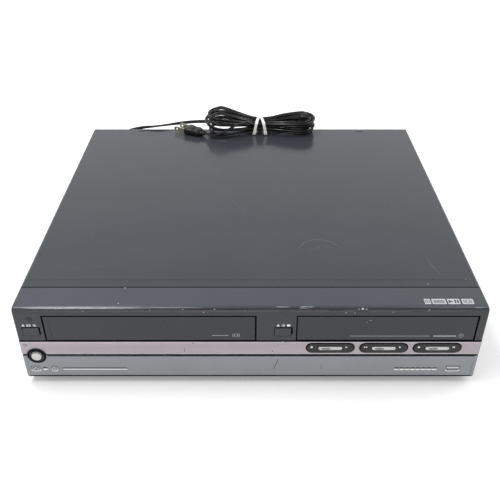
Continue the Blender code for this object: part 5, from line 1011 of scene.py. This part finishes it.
def edge_streak(bm, start, end, low, high, dice):
    """A thin streak along the rounded edge, between two heights on its quarter: painted highlight in a pale
    finish, painted shade in a dark one.
    """
    count = max(4, int((end - start) / 4))
    rows = []
    for i in range(count + 1):
        along = i / count
        fade = min(1.0, 5 * along, 3 * (1 - along)) * dice.uniform(0.75, 1.0)
        middle = (low + high) / 2 + dice.uniform(-0.02, 0.02)
        row = []
        for edge in (-0.5, 0.5):
            turn = (middle + edge * (high - low) * fade) * math.pi / 2
            row.append(bm.verts.new(round_edge(start + along * (end - start), turn, STREAK_LIFT)))
        rows.append(row)
    for (a, b), (c, d) in zip(rows, rows[1:]):
        bm.faces.new((a, b, d, c))


# Streaks of painted highlight, drawn as rubbed and polished spray, and of painted shade across the edge's
# middle
EDGE_STREAKS = {
    "edge_highlight_rub": ("rubbed_edge_highlight", (-211, -92, 0.16, 0.50), (-94, -40, 0.22, 0.34), (200, 211, 0.2, 0.4)),
    "edge_highlight_polish": ("polished_edge_highlight", (-206, -112, 0.26, 0.42), (22, 36, 0.14, 0.24), (44, 58, 0.1, 0.2)),
    "edge_shade": ("shadow_print", (-64, 10, 0.42, 0.6), (24, 88, 0.34, 0.5), (104, 168, 0.4, 0.52)),
}


def edge_streaks():
    """Painted highlight along the rounded edge, pale at its left end and in broken streaks to the right,
    drawn as rubbed and polished spray; and streaks of painted shade across its middle.
    """
    dice = random.Random(12)
    for name, (finish, *spans) in EDGE_STREAKS.items():
        bm = bmesh.new()
        for span in spans:
            edge_streak(bm, *span, dice)
        piece(name, bm, finish)


def edge_flakes(dice):
    """Flakes along the rounded edge, and longer streaks of painted shade lower on it."""
    bm = bmesh.new()
    for x, quarter, size in EDGE_CHIPS:
        facet(bm, on_round(x, quarter, size, dice, 0.5))
    for x, quarter, size in ((47, 0.35, 9), (54, 0.3, 5)):
        facet(bm, on_round(x, quarter, size, dice, 0.06))
    piece("edge_flakes", bm, "bared_plastic")
    bm = bmesh.new()
    for x, quarter, size in ((31, 0.75, 14), (76, 0.7, 22), (98, 0.8, 20), (-70, 0.75, 12), (150, 0.8, 16)):
        facet(bm, on_round(x, quarter, size, dice, 0.05))
    piece("edge_shade_streaks", bm, "shadow_print")


def front_wear():
    """Flakes along the rounded edge, and the knocks and scratches on the face of the front. The dark knocks
    and scratches are drawn with painted shade in their hollows.
    """
    dice = random.Random(4)
    edge_flakes(dice)
    dark = stroke([(-61.6, 36.2), (-61.4, 33), (-61.7, 30.4)], 0.5) + [circle((-53.4, 41.6), 0.5, 8)]
    dark += [circle((20.6, 32.2), 0.6, 8), circle((-125.8, 44.6), 1.1, 10, 0.7)]
    prints("strip_knocks_shaded", dark, "shadow_print")
    light = [chip(-10.9, 30.6, 1.5, dice), chip(-8, 30.7, 1.3, dice), chip(-13.9, 31, 0.8, dice)]
    light += stroke([(29.2, 44.2), (31.4, 43.2), (33.6, 42.4)], 0.6)
    prints("strip_flakes", light, "bared_plastic")
    dark = stroke([(26.3, 22.6), (25.4, 18.6), (23.4, 13.5), (22.3, 9.4)], 0.6)
    dark += stroke([(67.0, 15.8), (67.3, 12), (67.4, 9)], 0.5) + [circle((22.6, 10.0), 0.6, 8)]
    prints("flap_scratches_shaded", dark, "shadow_print", "flap")
    light = [chip(24.5, 23.9, 2.6, dice, 0.35), chip(-13.6, 25.4, 1.4, dice), chip(27, 22.6, 0.9, dice)]
    prints("flap_flakes", light, "bared_plastic", "flap")
    light = [chip(108.5, 69.6, 2.4, dice, 0.5), chip(105.6, 67.2, 1.6, dice, 0.4)]
    prints("lid_rubs", light, "grey_print", "tray")


# The cover

COVER_HALF = 215
BEND_RADIUS = 2.8
COVER_CHIPS = [(166.4, 36.6, 1.8), (204.1, 44.3, 1.5), (207.9, 44.0, 1.2), (-164, 120, 0.8), (95, 210, 0.7),
               (-40, 262, 0.8), (150, 180, 0.7), (20, 330, 0.8)]
FASCIA_CHIPS = [(-116.6, 30.9, 1.2), (-119.3, 8.0, 1.0)]
BEND_CHIPS = {-1: (72, 75, 118, 190, 64, 240), 1: (72, 82, 93, 98, 142, 60, 225)}


def cover_wear():
    """Flakes in the paint of the cover and of the top behind the front's edge."""
    dice = random.Random(9)
    flakes = [chip(x, y, size, dice) for x, y, size in COVER_CHIPS]
    top_prints("cover_flakes", flakes, "bared_steel")
    flakes = [chip(x, y, size, dice, 2.2) for x, y, size in FASCIA_CHIPS]
    top_prints("fascia_top_flakes", flakes, "bared_plastic")
    bm = bmesh.new()
    for side, ys in BEND_CHIPS.items():
        for y in ys:
            tall = dice.uniform(0.5, 1.0)
            long = dice.uniform(1.0, 3.2)
            facet(bm, on_side_bend(side, y, long, tall))
    piece("cover_bend_flakes", bm, "bared_steel")


def cover_scratches():
    """Fine curved scratches, where things were set down on the cover and slid along it."""
    arcs = stroke([(48, 95), (56, 107), (68, 113), (82, 108), (93, 96)], 0.5)
    arcs += stroke([(58, 90), (70, 99), (84, 97)], 0.4) + stroke([(174, 84), (177, 66), (182, 51)], 0.4)
    arcs += stroke([(-20, 190), (-8, 171), (2, 165)], 0.35) + stroke([(-170, 60), (-140, 66)], 0.4)
    top_prints("cover_scratches", arcs, "rubbed_paint")


def on_side_bend(side, y, long, tall):
    """A flake on the bend between the cover's top and side."""
    radius = BEND_RADIUS + FLAKE_LIFT
    points = []
    for a, b in ((-0.5, -0.3), (-0.2, 0.5), (0.3, 0.4), (0.5, -0.1), (0.1, -0.5)):
        turn = math.radians(42) + b * tall / radius
        across = COVER_HALF - BEND_RADIUS + radius * math.sin(turn)
        points.append((side * across, y + a * long, TOP - BEND_RADIUS + radius * math.cos(turn)))
    return points


SCREW_LEVELS = [(1.0, -0.2, 0), (1.0, 0.45, 0), (0.86, 0.85, 0), (0.58, 1.0, 0), (0.5, 1.0, 0.7),
                (0.22, 1.0, 0.9)]


def screw(bm, at, direction, radius, rise):
    """A pan-head screw with a cross recess."""
    turn = Vector((0, 0, 1)).rotation_difference(Vector(direction)).to_matrix()
    rings = []
    for share, height, sink in SCREW_LEVELS:
        ring = []
        for i in range(16):
            drop = sink if i % 4 == 0 else 0
            x, y = arc((0, 0), radius * share, [math.tau * i / 16])[0]
            ring.append(bm.verts.new(Vector(at) + turn @ Vector((x, y, rise * (height - drop)))))
        rings.append(ring)
    for ring, other in zip(rings, rings[1:]):
        bridge(bm, ring, other)
    recess_foot = bm.verts.new(Vector(at) + turn @ Vector((0, 0, rise * 0.15)))
    join_rings(bm, rings[-1], [recess_foot])
    bm.faces.new(rings[0])


def screws(name, spots, direction, radius, rise, finish, body="housing"):
    bm = bmesh.new()
    for spot in spots:
        screw(bm, spot, direction, radius, rise)
    piece(name, bm, finish, body, angle=25)


def cover_screws():
    for side, name in ((-1, "left"), (1, "right")):
        spots = [(side * COVER_HALF, y, 12) for y in (66, 352)]
        screws(f"cover_screws_{name}", spots, (side, 0, 0), 3.6, 1.5, "black_screw")
    spots = [(x, REAR, 74) for x in (-205, 205, 0)] + [(x, REAR, 10) for x in (-205, -100, 150, 205)]
    screws("rear_screws", spots + [(70, REAR, 64)], (0, 1, 0), 2.9, 1.4, "zinc_steel")
    spots = [(x, y, 1) for x in (-195, 0, 195) for y in (45, 372)]
    spots += [(x, y, 1) for x, y in ((-91, 90), (-91, 230), (124, 60))]
    screws("floor_screws", spots, (0, 0, -1), 2.9, 1.2, "zinc_steel")
    screws("fascia_screws", [(x, 20, 0) for x in (-150, -50, 60, 150)], (0, 0, -1), 2.4, 0.8, "black_screw")


FEET = {"front_left": (-170, 55), "front_right": (170, 55), "back_left": (-170, 336),
        "back_right": (170, 336)}
FOOT_PROFILE = [(0, -3.5), (4.6, -3.5), (5.2, -8.4), (6.0, -9.0), (11.2, -9.0), (11.6, -8.5), (12.2, -8.5),
                (12.6, -9.0), (15.0, -9.0), (16.0, -8.0), (15.6, -6.4), (15.0, -6.1), (15.0, -5.5),
                (15.3, -5.2), (14.3, -1.2), (13.5, 0.7), (0, 0.7)]


def feet():
    """Moulded rubber feet, with a screw in the well of each and a groove round the side."""
    for corner, (x, y) in FEET.items():
        bm = turned(bmesh.new(), FOOT_PROFILE, (x, y, 0), (0, 0, 1), 40)
        made = piece(f"moulded_foot_{corner}", bm, "foot_rubber", angle=50)
        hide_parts(f"foot_{corner}")
        screws(f"foot_screw_{corner}", [(x, y, -3.5)], (0, 0, -1), 3.4, 1.8, "zinc_steel")


# The back

REAR_JACKS = {"yellow": 28.5, "white": 43.0, "red": 57.5}
JACK_ROWS = (33.0, 49.0)
BAY_JACKS = {"yellow": 188.75, "white": 174.25, "red": 159.75, "black": 145.25}
BAY_JACK_Z = 14.85
BAY_WALL = 12.0
SLEEVE_RADIUS = 4.2
AERIAL_XS = (-43, -21)
AERIAL_Z = 53


def phono_socket(bm, shells, at, way, reach):
    """A socket's coloured collar and mouth go into bm, and its plated sleeve and contact into shells."""
    out = (0, way, 0)
    collar = [(4.25, 0.0), (6.0, 0.0), (6.0, 0.9), (5.6, 1.4), (4.9, 1.4), (4.6, 2.6), (4.25, 2.6)]
    turned(bm, collar, at, out, 28)
    turned(bm, band(2.1, 3.3, reach - 0.1, reach + 0.05), at, out, 24)
    bore, rim = SLEEVE_RADIUS, SLEEVE_RADIUS + 0.16
    sleeve = [(bore, 1.0), (rim, 1.0), (rim, reach - 0.4), (bore, reach + 0.1), (bore - 0.7, reach + 0.1),
              (bore - 0.9, reach + 0.02), (bore - 0.9, reach - 0.2)]
    turned(shells, sleeve, at, out, 28)
    turned(shells, band(1.65, 2.1, reach - 0.2, reach + 0.08), at, out, 20)


def rear_phono_sockets():
    shells = bmesh.new()
    for colour, x in REAR_JACKS.items():
        bm = bmesh.new()
        for z in JACK_ROWS:
            phono_socket(bm, shells, (x, REAR, z), 1, 9.5)
        piece(f"rear_sockets_{colour}", bm, f"socket_{colour}")
    piece("rear_socket_shells", shells, "blade_nickel")


def bay_phono_sockets():
    """The sockets behind the flap, whose barrels stand 8 mm out of the bay's back wall."""
    shells = bmesh.new()
    for colour, x in BAY_JACKS.items():
        bm = bmesh.new()
        phono_socket(bm, shells, (x, BAY_WALL, BAY_JACK_Z), -1, 8.0)
        piece(f"bay_socket_{colour}", bm, f"socket_{colour}")
    piece("bay_socket_shells", shells, "blade_nickel")


def bay_prints():
    """Arrows on the two channel keys, and a fine ring round each socket."""
    for side, x, way in (("down", 123.25, -1), ("up", 109.25, 1)):
        foot = BAY_JACK_Z - way * 0.9
        arrow = [(x - 1.3, foot), (x + 1.3, foot), (x, BAY_JACK_Z + way * 1.3)]
        plates(f"channel_mark_{side}", [arrow], "Y", (8.5, 8.46), "white_print", f"channel_{side}")
    rings = [shape for x in BAY_JACKS.values() for shape in ring_print((x, BAY_JACK_Z), 6.9, 0.3)]
    plates("bay_marks", rings, "Y", (BAY_WALL, BAY_WALL - PRINT_DEPTH), "white_print")


def aerial_sockets():
    """Threaded aerial sockets with their hexagon nuts and washers."""
    out = (0, 1, 0)
    nut = [(4.75, 0.5), (6.3, 0.5), (6.5, 0.9), (6.5, 2.1), (6.3, 2.5), (4.75, 2.5)]
    thread = [(4.72, 2.6)]
    for i in range(9):
        thread += [(5.0, 2.9 + 0.75 * i), (4.72, 3.3 + 0.75 * i)]
    thread += [(4.3, 10.05), (3.2, 10.1), (3.1, 9.7)]
    metal, inner = bmesh.new(), bmesh.new()
    for x in AERIAL_XS:
        at = (x, REAR, AERIAL_Z)
        turned(metal, band(4.75, 7.0, 0, 0.5), at, out, 28)
        turned(metal, nut, at, out, 6)
        turned(metal, thread, at, out, 28)
        turned(inner, band(1.65, 3.1, 9.8, 10.06), at, out, 24)
    piece("aerial_socket_threads", metal, "blade_nickel")
    piece("aerial_socket_insulators", inner, "socket_white")


def digital_sockets():
    """The flat digital socket with its tongue and contacts, and the square optical one beside it."""
    flat, square = (93, 37), (115, 37)
    bm = pierced(bmesh.new(), oblong(flat, 17.2, 7.7, 1.2), [oblong(flat, 14.8, 3.5, 0.4)], "Y",
                 (REAR + 1.5, REAR + 1.75))
    piece("digital_socket_rim", bm, "blade_nickel")
    tongue = ((87.4, 98.6), (REAR - 5.8, REAR + 0.2), (36.6, 37.4))
    blocks("digital_socket_tongue", [tongue], 0.1, "black_screw")
    starts = [88.0 + 1.05 * i for i in range(10)]
    contacts = [((start, start + 0.45), (REAR - 5.6, REAR), (37.4, 37.46)) for start in starts]
    blocks("digital_socket_contacts", contacts, 0, "gold_plate")
    bm = pierced(bmesh.new(), oblong(square, 11.6, 11.6, 1), [oblong(square, 8.4, 8.4, 0.8)], "Y",
                 (REAR + 1.5, REAR + 2.1))
    block(bm, (111.4, 118.6), (REAR + 1.5, REAR + 1.85), (33.2, 40.4), 0.25)
    piece("optical_socket_shutter", bm, "moulding_black")


def rear_prints():
    """Boxes that group the sockets, with plain symbols beside them."""
    shapes = []
    for x, z, width, height in ((43, 41, 52, 36), (-32, AERIAL_Z, 44, 21), (104, 37, 46, 21)):
        inner = oblong((x, z), width - 1, height - 1, 2.6)
        shapes += outline_print(oblong((x, z), width, height, 3), inner)
    for x in REAR_JACKS.values():
        shapes += [[(x - 1.2, 40.0), (x + 1.2, 40.0), (x, 42.2)]]
    shapes += cassette_mark(43, 62.4, 7) + disc_mark(56, 62.4, 4.4)
    shapes += [bar(-34.6, 66, 0.6, 4), bar(-37, 69.4, 5.4, 0.6), bar(-36, 67.8, 3.4, 0.6)]
    plates("rear_marks", shapes, "Y", (REAR, REAR + PRINT_DEPTH), "dark_print")


def strain_relief():
    """The moulded boot that the lead leaves the back by, ribbed so that it bends."""
    profile = [(0, -2.8), (5.2, -2.8), (5.2, 0.2), (7.4, 0.2), (7.5, 0.7), (7.3, 2.1), (6.8, 2.3)]
    profile.append((5.2, 2.3))
    for i in range(6):
        shrink = 0.28 * i
        rib, neck = 5.0 - shrink, 3.9 - shrink * 0.55
        start = 4.0 + 3.1 * i
        profile += [(rib, start), (rib, start + 1.6), (neck, start + 1.9), (neck, start + 2.8)]
    profile += [(3.3, 23.4), (3.0, 24.0), (0, 24.0)]
    bm = turned(bmesh.new(), profile, GLAND, (0, 1, 0), 28)
    made = piece("ribbed_boot", bm, "cord_black", angle=40)
    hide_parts("cord_gland")


def plug_matrix():
    return Matrix.Translation(plug_start()) @ Matrix.Rotation(PLUG_HEADING - math.pi / 2, 4, "Z")


PLUG_STATIONS = [(0, 3.1, 2.0), (0.4, 3.3, 2.3), (2.2, 3.7, 2.5), (2.5, 3.3, 2.1), (3.3, 3.4, 2.2),
                 (3.6, 4.3, 2.9), (5.4, 4.7, 3.1), (5.7, 4.2, 2.7), (6.4, 4.4, 2.9), (6.8, 5.6, 3.7),
                 (9.0, 6.8, 4.3), (11.5, 7.6, 4.55), (14.5, 7.7, 4.35), (17.0, 7.5, 4.1), (19.5, 7.7, 4.2),
                 (22.0, 8.3, 4.5), (23.0, 8.75, 4.6), (27.6, 8.75, 4.6), (28.6, 8.5, 4.35),
                 (29.0, 8.0, 3.9)]
BLADE_OUTLINE = [(29.3, -3.15), (43.6, -3.15), (45.3, -2.0), (45.3, 2.0), (43.6, 3.15), (29.3, 3.15)]
BLADE_SPREAD = 6.35
BLADE_HALF = 0.75


def plug_body():
    """The moulded grip: a ribbed relief that widens into a waist with four finger ribs on each face."""
    outlines = []
    for y, half, rise in PLUG_STATIONS:
        outline = oblong((0, 0), 2 * half, 2 * rise, min(2.4, rise * 0.8), 5)
        outlines.append([(x, y, z) for x, z in outline])
    bm = loft(bmesh.new(), outlines)
    for i in range(4):
        for face in (-1, 1):
            block(bm, (-4.5, 4.5), (13.4 + 1.9 * i, 14.2 + 1.9 * i), sorted((face * 3.9, face * 4.58)), 0.2)
    bmesh.ops.transform(bm, matrix=plug_matrix(), verts=bm.verts)
    body = piece("moulded_plug", bm, "cord_black", angle=38)
    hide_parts("plug_body")
    return body


def plug_blade(side, name):
    """A flat blade with a round hole near its tip."""
    middle = side * BLADE_SPREAD
    bm = pierced(bmesh.new(), BLADE_OUTLINE, [circle((41.2, 0), 1.6, 16)], "X",
                 (middle - BLADE_HALF, middle + BLADE_HALF))
    bmesh.ops.transform(bm, matrix=plug_matrix(), verts=bm.verts)
    blade = piece(f"pierced_blade_{name}", bm, "blade_nickel")
    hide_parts(f"plug_blade_{name}")
    return blade


def plug():
    return [plug_body(), plug_blade(-1, "left"), plug_blade(1, "right")]


def tie_turn(bm, lean, centre, half):
    """One turn of the tie round the hank, which leans to one side where it passes over the front."""
    outer = oblong((0, 0), 2 * half.y + 0.5, 2 * half.z + 0.3, 3.2, 6)
    inner = oblong((0, 0), 2 * half.y - 0.5, 2 * half.z - 0.7, 2.7, 6)
    swell = 1.012 if lean > 0 else 1
    rings = []
    for outline in (outer, inner):
        for edge in (-TIE_HALF, TIE_HALF):
            ring = []
            for v, n in outline:
                share = (half.y - v) / (2 * half.y)
                reach = 1.6 + 6.6 * share * (1 - 0.55 * (n / half.z + 1) / 2)
                slant = lean * reach * min(1, share + 0.15)
                ring.append(bm.verts.new(centre + Vector((slant + edge, v * swell, n * swell))))
            rings.append(ring)
    for first, second in ((0, 1), (1, 3), (3, 2), (2, 0)):
        bridge(bm, rings[first], rings[second])


def paper_tie():
    """A paper twist tie round the waist of the hank, in two crossing turns."""
    low, high = [Vector(corner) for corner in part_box("cord_tie")]
    high.z -= WAIST_SQUEEZE * HANK_LAYER * (HANK_LAYERS - 1) / MM_PER_METRE
    centre = in_millimetres((low + high) / 2)
    half = (high - low) * (MM_PER_METRE / 2)
    bm = bmesh.new()
    for lean in (-1, 1):
        tie_turn(bm, lean, centre, half)
    made = piece("paper_twist_tie", bm, "tie_white", angle=50)
    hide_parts("cord_tie")


# Inside

TRAY_TOP = 60.0
WELL_MIDDLE = (LID_MIDDLE, 71.8)
PICKUP_Y = 96.1
REEL_XS = {"supply": -137.95, "takeup": -45.45}
REEL_Y = 156.0
BOARD_TOP = 11.6
LEG_PITCH = 1.3


def sill_shade_sheets():
    """Painted shade: near-black sheets over the front board's upper edge, under the two openings."""
    shade_sheets = [(span, (4.2, 18.3), (44.42, 44.66)) for span in ((-190.0, 6.5), (44.0, 181.6))]
    blocks("sill_shade_sheets", shade_sheets, 0.1, "painted_shade_black")


def flap_ribs():
    """The flap's stiffening ribs, moulded on the face that shows when it is down."""
    ribs = [((x - 0.5, x + 0.5), (2.35, 3.2), (5, 24.4)) for x in range(-186, 127, 26)]
    ribs += [((-186.5, 126.5), (2.35, 3.1), (z, z + 0.9)) for z in (5.0, 23.6)]
    blocks("flap_ribs", ribs, 0.2, "flap_grey", "flap")


def bay_details():
    """Blanked openings in the bay's back wall, and a row of clips along its foot."""
    shapes = []
    for x, width in ((-168, 34), (-120, 34), (-66, 46), (0, 26), (40, 26), (76, 22)):
        inner = oblong((x, 14.5), width - 1.2, 9.8, 0.8)
        shapes += outline_print(oblong((x, 14.5), width, 11, 1.2), inner)
    plates("bay_blanks", shapes, "Y", (BAY_WALL + 0.05, BAY_WALL - 0.4), "fascia_plastic")
    clips = [((x, x + 9), (BAY_WALL - 0.8, BAY_WALL + 0.05), (3.2, 4.2)) for x in range(-190, 100, 24)]
    blocks("bay_clips", clips, 0.2, "fascia_plastic")


def tray_details():
    """The lugs that hold a disc when the player stands on its side, the tray's rails, and its lines."""
    bm = bmesh.new()
    for angle in (40, 140, 220, 320):
        x, y = arc(WELL_MIDDLE, 60.9, [math.radians(angle)])[0]
        lug = [(0, 0), (2.6, 0), (2.6, 0.6), (2.2, 0.9), (0, 0.9)]
        turned(bm, lug, (x, y, TRAY_TOP - 0.3), (0, 0, 1), 16)
    for side in (-1, 1):
        edge = LID_MIDDLE + side * 64.6
        block(bm, (edge - 0.5, edge + 0.5), (8, 186), (TRAY_TOP - 0.1, TRAY_TOP + 0.6), 0.2)
    piece("tray_lugs", bm, "moulding_black", "tray")
    lines = []
    for radius, width in ((62.6, 0.35), (63.6, 0.2)):
        for start in (25, 115, 205, 295):
            angles = [math.radians(start + 40 * i / 12) for i in range(13)]
            lines.append(arc(WELL_MIDDLE, radius, angles) + arc(WELL_MIDDLE, radius - width, angles)[::-1])
    plates("tray_lines", lines, "Z", (TRAY_TOP - 0.02, TRAY_TOP + 0.05), "grey_print", "tray")


def basket_springs():
    """Two bent leaf springs under the basket's roof, which press the cassette down."""
    bends = [(42, 71.6), (54, 71.2), (66, 70.2), (74, 69.6), (80, 70.0), (86, 71.4)]
    rivet = [(0, 0), (1.7, 0), (1.7, 0.5), (0.9, 0.9), (0, 0.9)]
    bm = bmesh.new()
    for x in (-172.5, -11.5):
        loft(bm, [[(a, y, b) for a, b in bar(x - 4, z, 8, 0.35)] for y, z in bends])
        turned(bm, rivet, (x, 45.5, 71.6), (0, 0, -1), 16)
    piece("basket_springs", bm, "blade_nickel", "basket")


DRUM_MIDDLE = (-91.7, 248.0)
DRUM_FOOT = 25.7
DRUM_HEIGHT = 30.15


def drum_place():
    """The drum's own upright frame: its foot's middle and its tilted axis."""
    tilt = math.radians(5)
    return Vector((*DRUM_MIDDLE, DRUM_FOOT)), Vector((0, -math.sin(tilt), math.cos(tilt)))


def lower_drum_and_screws():
    """The ledge that guides the tape round the lower drum, and the upper drum's three screws."""
    foot, axis = drum_place()
    bm = turned(bmesh.new(), [(30.6, 3), (31.7, 3), (31.7, 6), (31.3, 7), (30.6, 7)], foot, axis, 64)
    piece("tape_ledge", bm, "aluminium")
    aside = axis.orthogonal().normalized()
    bm = bmesh.new()
    for i in range(3):
        spot = Matrix.Rotation(math.tau * i / 3, 3, axis) @ aside * 21
        screw(bm, foot + axis * DRUM_HEIGHT + spot, axis, 2.2, 0.9)
    piece("drum_screws", bm, "black_screw", "drum", angle=25)


def upper_drum_and_heads():
    """The rings that the lathe left on the upper drum, and the tips of its two heads."""
    foot, axis = drum_place()
    bm = bmesh.new()
    for radius, line in ((28.6, 0.35), (24.6, 0.3), (16.5, 0.3)):
        turned(bm, band(radius - line, radius, 0, 0.12), foot + axis * DRUM_HEIGHT, axis, 48)
    piece("drum_turning_marks", bm, "zinc_steel", "drum")
    aside = axis.orthogonal().normalized()
    bm = bmesh.new()
    for way in (1, -1):
        spot = aside * 30.9 * way
        turned(bm, band(0, 1.1, -0.9, 0.9), foot + axis * 17.2 + spot, spot, 10)
    piece("head_tips", bm, "gold_plate", "drum")


def reel_splines():
    """Three driving fins on each reel table, and a printed ring round its rim."""
    fin = ((9.0, -0.8), (11.4, -0.6), (11.4, 0.6), (9.0, 0.8))
    for side, x in REEL_XS.items():
        fins = []
        for angle in (90, 210, 330):
            turn = Matrix.Rotation(math.radians(angle), 2)
            fins.append([tuple(Vector((x, REEL_Y)) + turn @ Vector(corner)) for corner in fin])
        plates(f"reel_fins_{side}", fins, "Z", (21.6, 29.0), "moulding_grey", side)
        bm = turned(bmesh.new(), band(12.6, 13.4, 0, 0.25), (x, REEL_Y, 21.68), (0, 0, 1), 32)
        piece(f"reel_ring_{side}", bm, "grey_print", side)


def legged_chip(body, legs, x, y, wide, deep):
    """A moulded chip on a board, with a row of legs along both long sides."""
    block(body, (x - wide / 2, x + wide / 2), (y - deep / 2, y + deep / 2),
          (BOARD_TOP + 0.2, BOARD_TOP + 1.6), 0.12)
    count = max(3, int(wide / LEG_PITCH))
    for i in range(count):
        at = x - wide / 2 + (i + 0.5) * wide / count
        for side in (-1, 1):
            edge = y + side * deep / 2
            reach = sorted((edge, edge + side * 1.1))
            block(legs, (at - 0.25, at + 0.25), reach, (BOARD_TOP - 0.02, BOARD_TOP + 0.5))


def small_can(bm, x, y, radius, tall):
    """An aluminium capacitor on a board, with a rolled shoulder and a pressed groove."""
    profile = [(0, 0), (radius, 0), (radius, 1.2), (radius - 0.35, 1.6), (radius, 2.0)]
    profile += [(radius, tall - 0.5), (radius - 0.5, tall), (0, tall)]
    turned(bm, profile, (x, y, BOARD_TOP), (0, 0, 1), 20)


CHIPS = [(86, 66, 12, 6), (150, 66, 9, 5), (164, 84, 7, 5), (88, 330, 14, 7), (152, 340, 10, 6)]
CANS = [(-66, 303, 3.2, 9), (-76, 304, 4, 12), (-66, 316, 2.5, 8), (-62, 330, 3.2, 10), (160, 356, 3, 7),
        (168, 356, 3, 7), (82, 360, 3, 7)]
CONNECTORS = [(-196, 301), (-58, 362), (80, 58), (120, 366)]
CHOKES = [(-84, 362), (-104, 304)]


def chips_and_legs():
    """Moulded chips, with their legs and the connectors' pins, which are tinned alike."""
    chips, legs = bmesh.new(), bmesh.new()
    for spot in CHIPS:
        legged_chip(chips, legs, *spot)
    for x, y in CONNECTORS:
        for i in range(5):
            block(legs, (x - 2.6 + 2.5 * i, x - 2.0 + 2.5 * i), (y - 0.3, y + 0.3), (16.8, 19.4))
    piece("small_chips", chips, "moulding_black")
    piece("chip_legs", legs, "blade_nickel")


def capacitors_and_resistors():
    """Rolled capacitors, small resistors strewn over the free board, and the chokes' black cores."""
    bm = bmesh.new()
    for spot in CANS:
        small_can(bm, *spot)
    piece("small_capacitors", bm, "aluminium")
    dice = random.Random(21)
    bm = bmesh.new()
    for _ in range(46):
        x = dice.uniform(76, 172)
        y = dice.uniform(54, 372)
        if not (100 < x < 148 and 76 < y < 300):
            block(bm, (x, x + 1.6), (y, y + 0.8), (BOARD_TOP - 0.02, BOARD_TOP + 0.6), 0.08)
    for x, y in CHOKES:
        turned(bm, band(0, 4.2, 0, 9.4), (x, y, BOARD_TOP), (0, 0, 1), 18)
    piece("chip_resistors", bm, "moulding_black")


def connectors_and_windings():
    """The white shells of the connectors, and seven turns of copper on each choke."""
    shells = [((x - 4, x + 10), (y - 3, y + 3), (BOARD_TOP - 0.05, 17.2)) for x, y in CONNECTORS]
    blocks("board_connectors", shells, 0.3, "tie_white")
    wire = [(5.2, 0), (5.7, 0.5), (5.2, 1.0), (4.4, 0.5)]
    bm = bmesh.new()
    for x, y in CHOKES:
        for i in range(7):
            turned(bm, wire, (x, y, BOARD_TOP + 0.4 + 1.15 * i), (0, 0, 1), 18)
    piece("choke_windings", bm, "copper_winding")


def fan_label():
    """A ring of bright foil with a dark middle on the fan's hub."""
    low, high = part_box("fan_rotor")[:2]
    middle = (low + high) / 2
    at = in_millimetres((middle.x, high.y, middle.z))
    for name, radius, rise, finish in (("fan_foil", 9.0, 0.1, "aluminium"),
                                       ("fan_foil_middle", 4.0, 0.16, "moulding_black")):
        piece(name, turned(bmesh.new(), band(0, radius, -0.3, rise), at, (0, 1, 0), 28), finish, "fan")


def lens_ring():
    """The black ring that holds the pickup's lens."""
    profile = [(6.6, 0), (6.6, 1.0), (5.9, 1.3), (4.1, 1.3), (4.1, 0)]
    bm = turned(bmesh.new(), profile, (LID_MIDDLE, PICKUP_Y, 45.0), (0, 0, 1), 32)
    piece("lens_ring", bm, "moulding_black", "pickup")


def inside():
    sill_shade_sheets()
    flap_ribs()
    bay_details()
    tray_details()
    basket_springs()
    lower_drum_and_screws()
    upper_drum_and_heads()
    reel_splines()
    chips_and_legs()
    capacitors_and_resistors()
    connectors_and_windings()
    fan_label()
    lens_ring()


def dress():
    silver_strip()
    strip_lines()
    dark_gaps()
    flap_ends()
    rocker_keys()
    front_prints()
    key_prints()
    sensor_window()
    badge_prints()
    edge_streaks()
    front_wear()
    cover_wear()
    cover_scratches()
    cover_screws()
    feet()
    rear_phono_sockets()
    bay_phono_sockets()
    bay_prints()
    aerial_sockets()
    digital_sockets()
    rear_prints()
    inside()


camera()
finishes()
lead, lead_path, lead_length = mains_lead()
strain_relief()
paper_tie()
plug_pieces = plug()
studio()
surround()
floor()
dress_nodes()
dress()
